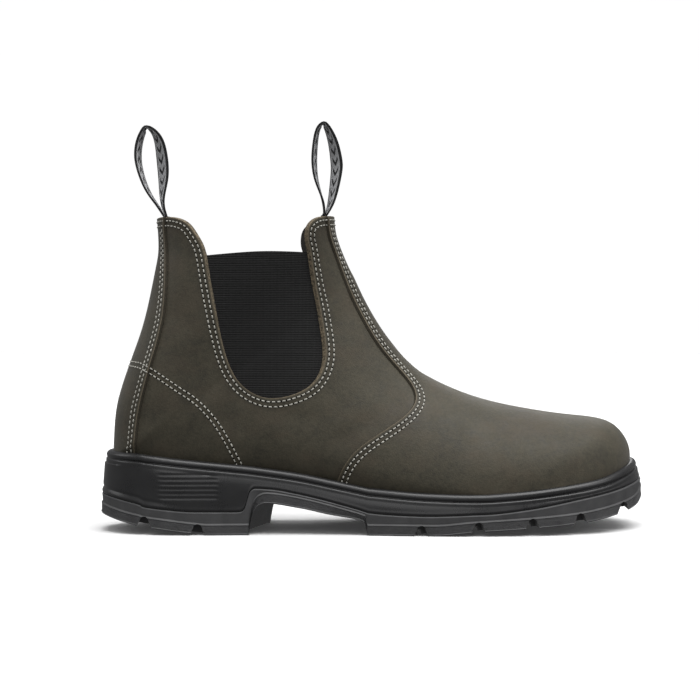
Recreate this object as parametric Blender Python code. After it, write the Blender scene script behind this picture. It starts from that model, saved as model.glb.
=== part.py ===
"""A right-foot side gore work boot: a leather pull-on upper with two elastic gores and two webbing pull
loops, an insole, a moulded midsole with a beaded rim, and a lugged outsole with a low heel.

Metres, +Z up, the floor at Z = 0. The toe points along +X and the inner side of the foot is +Y. The
origin is on the flat front block of the heel's tread, on the heel's centre line."""

import math

import bmesh
import bpy
import numpy as np

# Driving dimensions
SOLE_LENGTH = 0.303
HEEL_LENGTH = 0.0815
TREAD_START = 0.1465
BALL_WIDTH = 0.100
SHAFT_WIDTH = 0.070
SEAT_HEIGHT = 0.044
TOE_SPRING = 0.0178
HEEL_ROCKER = 0.0100
BOOT_HEIGHT = 0.1715
BREAST_SLANT = 0.013
HEEL_REST = 0.070

LEATHER = 0.0022
OVERLAY = 0.0012
ELASTIC = 0.0015
GORE_MARGIN = 0.006
CLEARANCE = 0.0003
TUCK = 0.0025
EMBED = 0.005

RIM_HEIGHT = 0.0066
BEAD_OUT = 0.0050
GROOVE_OUT = 0.0042
RIDGE_OUT = 0.0058
WALL_TOP_OUT = 0.0052
WALL_OUT = 0.0073
JOIN_OUT = 0.0066
SOLE_OUT = 0.0075
LUG_OUT = 0.0078
LUG_HEIGHT = 0.0056
EDGE_CHAMFER = 0.0006
STATION_GAP = 0.0008

INSOLE_THICKNESS = 0.0035
INSOLE_RIM = 0.0035

NOTCH_WIDTH = 0.0078
NOTCH_HEIGHT = 0.0052
NOTCH_DEPTH = 0.017
NOTCH_TAPER = 0.55
GROOVE_WIDTH = 0.0036
GROOVE_DEPTH = 0.0026

LOOP_WIDTH = 0.015
WEBBING = 0.0012
LOOP_HEIGHT = 0.051
LOOP_TAIL = 0.012
LOOP_FAR_SHARE = 0.54

# How finely each form is meshed
LAST_ROWS = 36
LAST_COLUMNS = 8
TOE_ARC_POINTS = 9
LOOP_STEPS = 2

# The zones of the sole along its length: 0 to 1 is the heel, 1 to 2 the waist, 2 to 3 the forefoot
ZONES = (0.0, HEEL_LENGTH, TREAD_START, SOLE_LENGTH)

# Heights along the sole: zone, share of the seat height, share of the toe spring
FEATHER = [
    (0.00, 1.000, 0.00),
    (0.28, 0.976, 0.00),
    (0.58, 0.915, 0.00),
    (0.92, 0.850, 0.00),
    (1.40, 0.750, 0.00),
    (1.72, 0.655, 0.00),
    (2.00, 0.570, 0.00),
    (2.20, 0.508, 0.01),
    (2.38, 0.487, 0.03),
    (2.50, 0.486, 0.10),
    (2.65, 0.480, 0.25),
    (2.82, 0.465, 0.50),
    (2.95, 0.450, 0.86),
    (3.00, 0.448, 1.02),
]
JOIN = [
    (0.00, 0.477, 0.00),
    (0.22, 0.396, 0.00),
    (0.40, 0.325, 0.00),
    (0.65, 0.285, 0.00),
    (0.90, 0.282, 0.00),
    (0.935, 0.300, 0.00),
    (0.955, 0.360, 0.00),
    (0.970, 0.450, 0.00),
    (0.985, 0.520, 0.00),
    (1.01, 0.560, 0.00),
    (1.05, 0.567, 0.00),
    (1.18, 0.556, 0.00),
    (1.42, 0.495, 0.00),
    (1.90, 0.320, 0.00),
    (2.06, 0.255, 0.00),
    (2.20, 0.239, 0.00),
    (2.38, 0.250, 0.03),
    (2.54, 0.250, 0.18),
    (2.70, 0.245, 0.43),
    (2.87, 0.230, 0.72),
    (3.00, 0.225, 1.00),
]
TREAD = [
    (0.98, 0.000, 0.00),
    (1.00, 0.000, 0.00),
    (1.015, 0.120, 0.00),
    (1.04, 0.270, 0.00),
    (1.08, 0.350, 0.00),
    (1.14, 0.382, 0.00),
    (1.42, 0.327, 0.00),
    (1.67, 0.250, 0.00),
    (1.93, 0.182, 0.00),
    (1.97, 0.150, 0.00),
    (2.00, 0.000, 0.00),
    (2.22, 0.000, 0.00),
    (2.345, 0.000, 0.10),
    (2.545, 0.000, 0.215),
    (2.725, 0.000, 0.345),
    (2.90, 0.000, 0.61),
    (2.955, 0.000, 0.76),
    (3.00, 0.000, 1.05),
]
# The heel's tread rises towards the back: zone, share of the heel rocker
HEEL_TREAD = [(0.00, 1.00), (0.25, 0.52), (0.40, 0.34), (0.62, 0.09), (0.74, 0.0), (0.98, 0.0)]

# The outline of the upper where it meets the sole's rim, from the back of the heel to the ball:
# share of the sole's length, then of the ball's width on the outer and the inner side
OUTLINE = [
    (0.0285, 0.000, 0.000),
    (0.0318, 0.090, 0.090),
    (0.0440, 0.165, 0.165),
    (0.0680, 0.233, 0.231),
    (0.1070, 0.286, 0.281),
    (0.1620, 0.306, 0.296),
    (0.2480, 0.309, 0.286),
    (0.3470, 0.319, 0.274),
    (0.4460, 0.352, 0.290),
    (0.5280, 0.402, 0.342),
    (0.6100, 0.446, 0.414),
    (0.6770, 0.469, 0.466),
    (0.7330, 0.474, 0.494),
]

# The last, as sections that fan from the toe to the collar. Each lies between its two ends on the
# outline (edge, a row of OUTLINE) or on the back line, and its crest on the vamp or the shaft's front.
SECTION_COLUMNS = (
    "edge",  # row of the outline where the section ends
    "back_x",  # back line: share of the sole's length, used from the heel's corner on
    "back_z",  # back line: share of the boot's height
    "crest_x",  # share of the sole's length
    "crest_z",  # above the section's lower end: share of the boot's height over the heel's corner
    "swing",  # the crest's shift to the inner side, share of the ball's width
    "outer",  # widest point from the crest's line, shares of the ball's width
    "inner",
    "shaft",  # the same on both sides, share of the shaft's width
    "belly",  # where the widest point lies, from the ends to the crest
    "crown",  # how square the section is above its widest point: 2 is an ellipse
    "bilge",  # the same below it
    "bow",  # sag of the section's line, share of the ball's width
)
SECTIONS = [
    (12.0, 0.0285, 0.222, 0.9690, 0.1001, 0.090, 0.546, 0.386, 0.0, 0.05, 2.25, 2.0, 0.030),
    (11.9, 0.0285, 0.222, 0.9760, 0.1529, 0.090, 0.568, 0.408, 0.0, 0.06, 2.25, 2.0, 0.025),
    (11.75, 0.0285, 0.222, 0.9725, 0.2140, 0.088, 0.568, 0.410, 0.0, 0.07, 2.28, 2.0, 0.018),
    (11.55, 0.0285, 0.222, 0.9565, 0.2715, 0.084, 0.565, 0.413, 0.0, 0.08, 2.32, 2.0, 0.010),
    (11.3, 0.0285, 0.222, 0.9260, 0.3109, 0.078, 0.560, 0.418, 0.0, 0.09, 2.36, 2.0, 0.004),
    (11.0, 0.0285, 0.222, 0.8640, 0.3303, 0.066, 0.548, 0.432, 0.0, 0.11, 2.32, 2.0, 0.0),
    (10.55, 0.0285, 0.222, 0.7850, 0.3561, 0.050, 0.530, 0.446, 0.0, 0.14, 2.18, 2.0, 0.0),
    (9.9, 0.0285, 0.222, 0.7050, 0.3920, 0.036, 0.502, 0.446, 0.0, 0.17, 2.05, 2.0, 0.0),
    (9.1, 0.0285, 0.222, 0.6270, 0.4512, 0.024, 0.460, 0.418, 0.0, 0.20, 1.95, 2.0, 0.0),
    (8.1, 0.0285, 0.222, 0.5680, 0.5093, 0.015, 0.415, 0.377, 0.0, 0.23, 1.90, 2.0, 0.0),
    (7.0, 0.0285, 0.222, 0.5250, 0.5689, 0.009, 0.200, 0.180, 0.255, 0.26, 1.92, 2.0, 0.0),
    (5.9, 0.0285, 0.222, 0.4960, 0.6360, 0.005, 0.060, 0.050, 0.430, 0.29, 1.98, 2.05, 0.0),
    (4.6, 0.0285, 0.222, 0.4780, 0.6879, 0.002, 0.010, 0.006, 0.480, 0.31, 2.04, 2.15, 0.0),
    (3.2, 0.0285, 0.222, 0.4680, 0.7205, 0.0, 0.004, 0.0, 0.482, 0.33, 2.10, 2.22, 0.0),
    (1.6, 0.0285, 0.222, 0.4615, 0.7486, 0.0, 0.0, 0.0, 0.482, 0.34, 2.14, 2.28, 0.0),
    (0.0, 0.0285, 0.226, 0.4555, 0.7735, 0.0, 0.0, 0.0, 0.482, 0.35, 2.18, 2.30, 0.0),
    (0.0, 0.0303, 0.300, 0.4485, 0.8058, 0.0, 0.0, 0.0, 0.482, 0.36, 2.20, 2.30, 0.0),
    (0.0, 0.0355, 0.400, 0.4405, 0.8473, 0.0, 0.0, 0.0, 0.482, 0.38, 2.22, 2.28, 0.0),
    (0.0, 0.0540, 0.510, 0.4345, 0.8809, 0.0, 0.0, 0.0, 0.484, 0.41, 2.24, 2.26, 0.0),
    (0.0, 0.0786, 0.630, 0.4290, 0.9172, 0.0, 0.0, 0.0, 0.487, 0.44, 2.26, 2.24, 0.0),
    (0.0, 0.0962, 0.755, 0.4255, 0.9508, 0.0, 0.0, 0.0, 0.491, 0.46, 2.28, 2.22, 0.0),
    (0.0, 0.1072, 0.850, 0.4235, 0.9871, 0.0, 0.0, 0.0, 0.494, 0.48, 2.30, 2.20, 0.0),
    (0.0, 0.1108, 0.925, 0.4225, 1.0285, 0.0, 0.0, 0.0, 0.497, 0.49, 2.30, 2.20, 0.0),
    (0.0, 0.1040, 1.070, 0.4215, 1.1035, 0.0, 0.0, 0.0, 0.500, 0.50, 2.30, 2.20, 0.0),
]
HEEL_CORNER = 15  # the first section whose two ends meet on the back line
LOWER_COLUMNS = (0.06, 0.75)  # share of a section's columns below its widest point: at least, and per belly

# Side view outlines, as shares of the sole's length and the boot's height
REAR_EAR = [(0.0980, 0.994), (0.1190, 0.998), (0.1430, 0.990), (0.1620, 0.970), (0.1770, 0.933)]
GORE = [
    (0.1890, 0.889),
    (0.1985, 0.800),
    (0.2140, 0.660),
    (0.2330, 0.535),
    (0.2620, 0.459),
    (0.3040, 0.426),
    (0.3500, 0.437),
    (0.3870, 0.475),
    (0.4060, 0.545),
    (0.4050, 0.630),
    (0.3970, 0.720),
    (0.3880, 0.800),
    (0.3800, 0.889),
]
FRONT_EAR = [(0.3755, 0.925), (0.3770, 0.962), (0.3870, 0.987), (0.4030, 1.000), (0.4260, 1.006)]
GORE_TOP = [(0.1500, 0.868), (0.2340, 0.881), (0.2870, 0.888), (0.3400, 0.890), (0.4200, 0.890)]
VAMP_SEAM = [
    (0.4080, 1.100),
    (0.4110, 0.968),
    (0.4240, 0.890),
    (0.4500, 0.768),
    (0.4740, 0.678),
    (0.4970, 0.606),
    (0.5240, 0.543),
    (0.5500, 0.490),
    (0.5655, 0.448),
    (0.5670, 0.410),
    (0.5485, 0.369),
    (0.5075, 0.321),
    (0.4660, 0.272),
    (0.4390, 0.218),
    (0.4250, 0.150),
    (0.4180, 0.050),
]
BACK_SEAM = [
    (0.1210, 1.100),
    (0.1215, 0.970),
    (0.1245, 0.900),
    (0.1250, 0.800),
    (0.1215, 0.705),
    (0.1140, 0.630),
    (0.1020, 0.550),
    (0.0880, 0.465),
    (0.0770, 0.385),
    (0.0715, 0.310),
    (0.0695, 0.230),
    (0.0690, 0.050),
]

# The outer edges of the pull loops' webbing seen from the outer side, from the root up over the top and
# back: shares of LOOP_HEIGHT, behind or ahead of the root and above it
REAR_LOOP = [
    (-0.026, 0.000), (-0.128, 0.150), (-0.236, 0.305), (-0.319, 0.515), (-0.346, 0.688), (-0.321, 0.849),
    (-0.266, 0.965), (-0.222, 1.000), (-0.142, 0.980), (-0.042, 0.880), (0.013, 0.722), (0.034, 0.540),
    (0.020, 0.367), (-0.012, 0.172), (0.026, 0.000),
]
FRONT_LOOP = [
    (-0.026, 0.000), (-0.040, 0.150), (-0.117, 0.347), (-0.155, 0.510), (-0.158, 0.673), (-0.130, 0.880),
    (-0.082, 0.985), (-0.026, 1.020), (0.038, 0.985), (0.130, 0.820), (0.182, 0.620), (0.187, 0.490),
    (0.154, 0.316), (0.100, 0.131), (0.026, 0.000),
]
# How the middle of each loop leans with its height, and how far its inner edge is shifted
LOOP_LEANS = {"rear": (-0.210, -0.050), "front": (-0.020, -0.006)}

# Where the sole's edge is notched: zone, and how deep as a share of NOTCH_DEPTH
NOTCHES = [(0.315, 1.0), (0.665, 1.0), (2.17, 1.0), (2.362, 1.0), (2.547, 1.0), (2.718, 0.8), (2.890, 0.5)]
# Where grooves cross the whole forefoot's tread
CROSS_GROOVES = (2.17, 2.362, 2.547)

# Stations along the sole, closer where the heel's breast and the joint line turn: round the heel's back
# as shares of the outline's rows that lie before the first zone, then by zone
HEEL_STATIONS = (0.0, 0.14, 0.28, 0.445, 0.61, 0.805, 1.0)
STATION_ZONES = (
    0.34, 0.48, 0.62, 0.75, 0.86, 0.92, 0.945, 0.960, 0.974, 0.988, 1.00, 1.015, 1.04,
    1.08, 1.14, 1.30, 1.50, 1.70, 1.86, 1.94, 1.97, 2.00, 2.06, 2.13, 2.20, 2.27, 2.345, 2.42,
)

COLOURS = {
    "leather": ((0.095, 0.086, 0.070), 0.62),
    "elastic": ((0.012, 0.012, 0.012), 0.85),
    "webbing": ((0.45, 0.46, 0.48), 0.75),
    "foam": ((0.016, 0.016, 0.017), 0.45),
    "rubber": ((0.045, 0.045, 0.046), 0.55),
    "insole": ((0.05, 0.05, 0.05), 0.9),
}


def clear_scene():
    for obj in list(bpy.data.objects):
        bpy.data.objects.remove(obj)


def hermite(xs, ys, at):
    """Reads a table smoothly, with no overshoot between its rows."""
    xs = np.asarray(xs, float)
    ys = np.asarray(ys, float)
    gaps = np.diff(xs)
    slopes = np.diff(ys) / gaps
    ends = np.concatenate([[slopes[0]], np.zeros(len(xs) - 2), [slopes[-1]]])
    same_way = slopes[:-1] * slopes[1:] > 0
    mean = 2 * slopes[:-1] * slopes[1:] / np.where(same_way, slopes[:-1] + slopes[1:], 1.0)
    ends[1:-1] = np.where(same_way, mean, 0.0)
    at = np.clip(np.asarray(at, float), xs[0], xs[-1])
    left = np.clip(np.searchsorted(xs, at, side="right") - 1, 0, len(xs) - 2)
    gap = gaps[left]
    t = (at - xs[left]) / gap
    return (
        (2 * t**3 - 3 * t**2 + 1) * ys[left]
        + (t**3 - 2 * t**2 + t) * gap * ends[left]
        + (3 * t**2 - 2 * t**3) * ys[left + 1]
        + (t**3 - t**2) * gap * ends[left + 1]
    )


def spline(rows, at):
    """A natural cubic spline through the rows of a table, read at fractional row numbers."""
    rows = np.asarray(rows, float)
    count = len(rows)
    system = np.eye(count)
    right = np.zeros_like(rows)
    for i in range(1, count - 1):
        system[i, i - 1 : i + 2] = (1.0, 4.0, 1.0)
        right[i] = 6 * (rows[i - 1] - 2 * rows[i] + rows[i + 1])
    bends = np.linalg.solve(system, right)
    at = np.clip(np.asarray(at, float), 0, count - 1)
    left = np.clip(at.astype(int), 0, count - 2)
    t = (at - left)[..., None]
    return (
        (1 - t) * rows[left]
        + t * rows[left + 1]
        + ((1 - t) ** 3 - (1 - t)) / 6 * bends[left]
        + (t**3 - t) / 6 * bends[left + 1]
    )


def smooth_outline(points, steps):
    """The points of a curve through a short side view outline, in metres."""
    curve = spline(points, np.linspace(0, len(points) - 1, steps * (len(points) - 1) + 1))
    return curve * (SOLE_LENGTH, BOOT_HEIGHT)


def along(zone):
    return np.interp(zone, range(len(ZONES)), ZONES)


def zone_at(x):
    return np.interp(x, ZONES, range(len(ZONES)))


def height(table, zone):
    rows = np.asarray(table)
    seat = hermite(rows[:, 0], rows[:, 1], zone)
    spring = hermite(rows[:, 0], rows[:, 2], zone)
    return seat * SEAT_HEIGHT + spring * TOE_SPRING


def tread_height(zone):
    rows = np.asarray(HEEL_TREAD)
    return height(TREAD, zone) + hermite(rows[:, 0], rows[:, 1], zone) * HEEL_ROCKER


def outline_at(row, grow=0.0):
    """(x, half-width) of the outer side, then of the inner side, at a fractional row of the outline,
    moved outwards by grow."""
    row = np.asarray(row, float)
    last_row = len(OUTLINE) - 1
    size = np.array([SOLE_LENGTH, BALL_WIDTH, BALL_WIDTH])
    read = spline(OUTLINE, row) * size
    ahead = spline(OUTLINE, np.minimum(row + 0.01, last_row)) * size
    behind = spline(OUTLINE, np.maximum(row - 0.01, 0)) * size
    way = ahead - behind
    sides = []
    for side in (1, 2):
        long_way = np.hypot(way[..., 0], way[..., side])
        slope_x = np.where(row > 0, -way[..., side] / long_way, -1.0)
        slope_y = np.where(row > 0, way[..., 0] / long_way, 0.0)
        sides += [read[..., 0] + grow * slope_x, read[..., side] + grow * slope_y]
    return sides


def edge_at(u):
    """The outline's row at which each section ends, which stays at the heel from its corner on."""
    return hermite(range(len(SECTIONS)), [row[0] for row in SECTIONS], u)


def lower_edge(u):
    """How high the last's lower edge runs, under the top of the sole's rim."""
    return height(FEATHER, zone_at(outline_at(edge_at(u))[0])) - EMBED


def last_points(u, v, grow=0.0):
    """Points of the last's surface. u runs over SECTIONS, and v from the outer end (0) over the crest
    (0.5) to the inner end (1). grow moves the whole surface outwards, or inwards when negative."""
    u, v = np.broadcast_arrays(np.asarray(u, float), np.asarray(v, float))
    rows = [row[1:] for row in SECTIONS]
    section = dict(zip(SECTION_COLUMNS[1:], np.moveaxis(spline(rows, u), -1, 0)))
    ahead, behind = np.clip(u + 0.05, 0, len(rows) - 1), np.clip(u - 0.05, 0, len(rows) - 1)
    way = dict(zip(SECTION_COLUMNS[1:], np.moveaxis(spline(rows, ahead) - spline(rows, behind), -1, 0)))
    outer_side = v < 0.5
    on_foot = u < HEEL_CORNER

    # The lower ends: along the outline as far as the heel's corner, then up the back line
    edge = edge_at(u)
    outer_x, outer_y, inner_x, inner_y = outline_at(edge, grow)
    swing = section["swing"] * BALL_WIDTH
    tuck = TUCK * np.clip(edge / 2.0, 0, 1)
    end_y = np.where(outer_side, outer_y + swing, inner_y - swing) - tuck
    end_y = np.where(on_foot & (edge > 0), end_y, 0.0)
    corner_z = lower_edge(HEEL_CORNER)
    corner_share = SECTIONS[HEEL_CORNER][2]
    climb = (BOOT_HEIGHT - corner_z) / (1 - corner_share)
    back_z = corner_z + np.clip(section["back_z"] - corner_share, 0, None) * climb
    back_slope = way["back_x"] * SOLE_LENGTH / np.maximum(way["back_z"] * climb, 1e-9)
    back_x = section["back_x"] * SOLE_LENGTH - grow * np.sqrt(1 + back_slope**2)
    end_x = np.where(on_foot, np.where(outer_side, outer_x, inner_x), back_x)
    end_z = np.where(on_foot, lower_edge(u), back_z)

    # The crest, moved square to its own line
    rise = BOOT_HEIGHT - corner_z
    crest_way_z = way["crest_z"] * rise + lower_edge(ahead) - lower_edge(behind)
    crest_way = np.stack([way["crest_x"] * SOLE_LENGTH, crest_way_z])
    crest_way /= np.hypot(*crest_way)
    crest_x = section["crest_x"] * SOLE_LENGTH + grow * crest_way[1]
    crest_z = lower_edge(u) + section["crest_z"] * rise - grow * crest_way[0]

    # Each section is a closed loop at the shaft, and the same kind of loop cut off at the outline ahead
    belly = section["belly"]
    widest = np.where(outer_side, section["outer"], section["inner"]) * BALL_WIDTH
    widest = widest + section["shaft"] * SHAFT_WIDTH + grow
    t = np.where(outer_side, 2 * v, 2 - 2 * v)
    turn = LOWER_COLUMNS[0] + LOWER_COLUMNS[1] * belly
    low = t < turn
    power = 2 / np.where(low, section["bilge"], section["crown"])
    cut_off = np.arccos(np.clip(end_y / widest, 0, 0.995) ** (1 / power))
    angle = np.where(low, cut_off * (1 - t / turn), (t - turn) / (1 - turn) * math.pi / 2)
    angle = np.clip(angle, 0, math.pi / 2)
    half = widest * np.clip(np.cos(angle), 0, 1) ** power
    up = np.sin(angle) ** power
    share = np.where(low, belly * (1 - up / np.sin(cut_off) ** power), belly + (1 - belly) * up)
    x = end_x + (crest_x - end_x) * share
    z = end_z + (crest_z - end_z) * share - section["bow"] * BALL_WIDTH * 4 * share * (1 - share)
    return np.stack([x, swing + np.where(outer_side, -half, half), z], axis=-1)


def last_grid(grow):
    """The last's surface as rows of points from the toe to the collar, and the row at the heel's corner."""
    us = np.linspace(0, len(SECTIONS) - 1, LAST_ROWS + 1)
    corner = int(np.argmin(abs(us - HEEL_CORNER)))
    us[corner] = HEEL_CORNER
    vs = np.linspace(0, 1, 2 * LAST_COLUMNS + 1)
    return last_points(*np.meshgrid(us, vs, indexing="ij"), grow), corner


def grid_triangles(tall, wide):
    """The two triangles of every cell of a grid, mirrored about its middle column, as places in it."""
    i, j = (g.ravel() for g in np.meshgrid(range(tall - 1), range(wide - 1), indexing="ij"))
    left = j < (wide - 1) // 2
    lower = ((i, j), (i, j + 1), (i + 1, np.where(left, j + 1, j)))
    upper = ((i, np.where(left, j, j + 1)), (i + 1, j + 1), (i + 1, j))
    return lower, upper


def new_object(name, points, faces, finish=None):
    """An object from points in metres, measured from the back of the sole, and its faces."""
    mesh = bpy.data.meshes.new(name)
    shifted = np.asarray(points, float) - (HEEL_REST, 0, 0)
    mesh.from_pydata([tuple(p) for p in shifted], [], faces)
    work = bmesh.new()
    work.from_mesh(mesh)
    bmesh.ops.remove_doubles(work, verts=work.verts, dist=1e-6)
    bmesh.ops.recalc_face_normals(work, faces=work.faces)
    bmesh.ops.triangulate(work, faces=work.faces, quad_method="SHORT_EDGE")
    work.to_mesh(mesh)
    work.free()
    obj = bpy.data.objects.new(name, mesh)
    bpy.context.scene.collection.objects.link(obj)
    if finish:
        mesh.materials.append(material(finish))
    return obj


def material(name):
    found = bpy.data.materials.get(name)
    if found:
        return found
    colour, roughness = COLOURS[name]
    made = bpy.data.materials.new(name)
    made.use_nodes = True
    shader = made.node_tree.nodes["Principled BSDF"]
    shader.inputs["Base Color"].default_value = (*colour, 1.0)
    shader.inputs["Roughness"].default_value = roughness
    shader.inputs["Metallic"].default_value = 0.0
    return made


def boolean(obj, other, operation):
    """Cuts, joins or intersects obj with other, which is used up."""
    modifier = obj.modifiers.new(operation.lower(), "BOOLEAN")
    modifier.operation = operation
    modifier.solver = "EXACT"
    modifier.object = other
    graph = bpy.context.evaluated_depsgraph_get()
    cut = bpy.data.meshes.new_from_object(obj.evaluated_get(graph))
    obj.modifiers.clear()
    old = obj.data
    obj.data = cut
    bpy.data.meshes.remove(old)
    bpy.data.objects.remove(other)
    return obj


def finish_mesh(obj, finish):
    """Triangulates, gives the finish, and shades smooth where faces meet at a low angle."""
    mesh = obj.data
    mesh.materials.clear()
    mesh.materials.append(material(finish))
    mesh.polygons.foreach_set("material_index", [0] * len(mesh.polygons))
    mesh.shade_smooth()
    mesh.set_sharp_from_angle(angle=math.radians(35))
    return obj


def last_form(name, offset, drop=0.0, raise_top=0.0):
    """The last as a closed solid, grown by offset. Its bottom is lowered by drop and its top raised."""
    grid, corner = last_grid(offset)
    tall, wide = grid.shape[:2]
    points = [tuple(p) for p in grid.reshape(-1, 3)]
    faces = []
    for corners in grid_triangles(tall, wide):
        faces += [tuple(map(int, face)) for face in zip(*(i * wide + j for i, j in corners))]
    outer_ends = [i * wide for i in range(corner, 0, -1)]
    inner_ends = [i * wide + wide - 1 for i in range(1, corner + 1)]
    rims = ((outer_ends + list(range(wide)) + inner_ends, -drop),)
    rims += (([(tall - 1) * wide + j for j in range(wide)], raise_top),)
    for rim, shift in rims:
        end = rim
        if shift:
            end = list(range(len(points), len(points) + len(rim)))
            points += [(x, y, z + shift) for x, y, z in (points[i] for i in rim)]
            faces += [(rim[i], rim[i + 1], end[i + 1], end[i]) for i in range(len(rim) - 1)]
        faces += across(end)
    return new_object(name, points, faces)


def across(loop):
    """Faces that close a long loop by bands from its one side to its other."""
    count = len(loop)
    bands = []
    for i in range(count // 2):
        corners = [loop[i], loop[i + 1], loop[count - 2 - i], loop[count - 1 - i]]
        bands.append(tuple(dict.fromkeys(corners)))
    return [band for band in bands if len(band) > 2]


def prism(name, outline, low_y, high_y):
    """A side view outline of (x, z) points, run from low_y to high_y."""
    count = len(outline)
    points = [(x, low_y, z) for x, z in outline] + [(x, high_y, z) for x, z in outline]
    faces = [tuple(range(count)), tuple(range(count, 2 * count))]
    faces += [(i, (i + 1) % count, count + (i + 1) % count, count + i) for i in range(count)]
    return new_object(name, points, faces)


def grown(outline, distance):
    """An open side view curve moved to its left by a distance."""
    curve = np.asarray(outline)
    way = np.gradient(curve, axis=0)
    way /= np.linalg.norm(way, axis=1, keepdims=True)
    return curve + distance * np.stack([-way[:, 1], way[:, 0]], axis=1)


def opening_outline():
    """What the collar and the two gores leave open: over the rear ear, round the gore, over the front."""
    high = 2 * BOOT_HEIGHT
    curve = smooth_outline(REAR_EAR + GORE + FRONT_EAR, 2)
    ends = [(SOLE_LENGTH, curve[-1][1]), (SOLE_LENGTH, high), (-HEEL_LENGTH, high)]
    return [*map(tuple, curve), *ends, (-HEEL_LENGTH, curve[0][1])]


def gore_outline():
    """The elastic's own outline: the opening and a margin behind the leather, straight along the top."""
    around = grown(smooth_outline(GORE, 2), -GORE_MARGIN)
    top = smooth_outline(GORE_TOP, 2)
    roof = [tuple(p) for p in top[::-1] if around[0][0] < p[0] < around[-1][0]]
    left_z = np.interp(around[0][0], top[:, 0], top[:, 1])
    right_z = np.interp(around[-1][0], top[:, 0], top[:, 1])
    sides = [tuple(p) for p in around if p[1] < min(left_z, right_z) - CLEARANCE]
    return [(around[0][0], left_z), *sides, (around[-1][0], right_z), *roof]


def vamp_outline(margin=0.0):
    curve = grown(smooth_outline(VAMP_SEAM, 2), -margin)
    return [*map(tuple, curve), (2 * SOLE_LENGTH, curve[-1][1]), (2 * SOLE_LENGTH, curve[0][1])]


def back_outline(margin=0.0):
    curve = grown(smooth_outline(BACK_SEAM, 2), margin)
    return [*map(tuple, curve), (-HEEL_LENGTH, curve[-1][1]), (-HEEL_LENGTH, curve[0][1])]


def open_at_top(obj):
    return boolean(obj, prism("opening", opening_outline(), -BALL_WIDTH, BALL_WIDTH), "DIFFERENCE")


def make_upper():
    """The leather wall: the last less the space inside it, open at the collar, the gores and below."""
    upper = last_form("upper", 0.0)
    inside = last_form("inside", -LEATHER, EMBED * 2, EMBED * 2)
    boolean(upper, inside, "DIFFERENCE")
    return finish_mesh(open_at_top(upper), "leather")


def overlay(name, outline):
    """A layer on the leather, cut between two larger forms of the last by a side view outline."""
    layer = last_form(name, CLEARANCE + OVERLAY)
    under = last_form("under", CLEARANCE, EMBED * 2, EMBED * 2)
    boolean(layer, under, "DIFFERENCE")
    boolean(layer, prism("cut", outline, -BALL_WIDTH, BALL_WIDTH), "INTERSECT")
    return finish_mesh(open_at_top(layer), "leather")


def make_gore(name, side):
    """One elastic gore, behind the leather and showing through its opening. side is -1 or 1 along Y."""
    face = LEATHER + CLEARANCE
    gore = last_form(name, -face)
    behind = last_form("behind", -face - ELASTIC, EMBED, EMBED)
    boolean(gore, behind, "DIFFERENCE")
    reach = sorted((side * CLEARANCE, side * BALL_WIDTH))
    boolean(gore, prism("cut", gore_outline(), *reach), "INTERSECT")
    return finish_mesh(gore, "elastic")


def sole_stations():
    """The outline's stations from the back of the heel round the outer side to the toe, with the zone at
    which each reads its heights, and the same for the inner side."""
    rows = np.linspace(0, len(OUTLINE) - 1, 40 * (len(OUTLINE) - 1) + 1)
    dense_x, dense_outer, _, dense_inner = outline_at(rows)
    zones = np.array(STATION_ZONES)
    zones = zones[along(zones) < dense_x[-1] - STATION_GAP]
    heel_end = np.interp(along(zones[0]) - STATION_GAP, dense_x, rows)
    heel_x, heel_outer, _, heel_inner = outline_at(np.array(HEEL_STATIONS) * heel_end)
    body_x = along(zones)
    breast = np.exp(-(((body_x - HEEL_LENGTH) / (0.6 * HEEL_LENGTH)) ** 2))
    inner_x = body_x + BREAST_SLANT * breast
    outer_y = np.concatenate([heel_outer, np.interp(body_x, dense_x, dense_outer)])
    inner_y = np.concatenate([heel_inner, np.interp(inner_x, dense_x, dense_inner)])
    outer = np.stack([np.concatenate([heel_x, body_x]), -outer_y], axis=1)
    inner = np.stack([np.concatenate([heel_x, inner_x]), inner_y], axis=1)
    return outer, inner, np.concatenate([zone_at(heel_x), zones])


def sole_loop():
    """The outline as one closed loop of (x, y) from the heel's back, round the outer side, the toe and
    the inner side, and the zone of each point."""
    outer, inner, zones = sole_stations()
    first = SECTIONS[1]
    tip_x, swing = first[3] * SOLE_LENGTH, first[5] * BALL_WIDTH
    start_x = outline_at(len(OUTLINE) - 1.0)[0]
    half_outer, half_inner = OUTLINE[-1][1] * BALL_WIDTH + swing, OUTLINE[-1][2] * BALL_WIDTH - swing
    angles = np.linspace(0, math.pi / 2, TOE_ARC_POINTS + 1)
    power = 2 / first[10]
    toe_x = start_x + (tip_x - start_x) * np.sin(angles) ** power
    outer_toe = np.stack([toe_x, swing - half_outer * np.cos(angles) ** power], axis=1)
    inner_toe = np.stack([toe_x, swing + half_inner * np.cos(angles) ** power], axis=1)
    loop = np.concatenate([outer, outer_toe, inner_toe[-2::-1], inner[:0:-1]])
    toe_zones = np.full(len(toe_x), np.nan)
    loop_zones = np.concatenate([zones, toe_zones, toe_zones[-2::-1], zones[:0:-1]])
    edge_zones = zone_at(loop[:, 0] + outward(loop)[:, 0] * SOLE_OUT)
    at_ends = np.isnan(loop_zones) | (loop_zones < STATION_ZONES[0])
    return loop, np.where(at_ends, edge_zones, loop_zones)


def outward(loop):
    """Unit normals of a closed loop that runs round the outer side first."""
    way = np.roll(loop, -1, axis=0) - np.roll(loop, 1, axis=0)
    way /= np.linalg.norm(way, axis=1, keepdims=True)
    return np.stack([way[:, 1], -way[:, 0]], axis=1)


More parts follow.
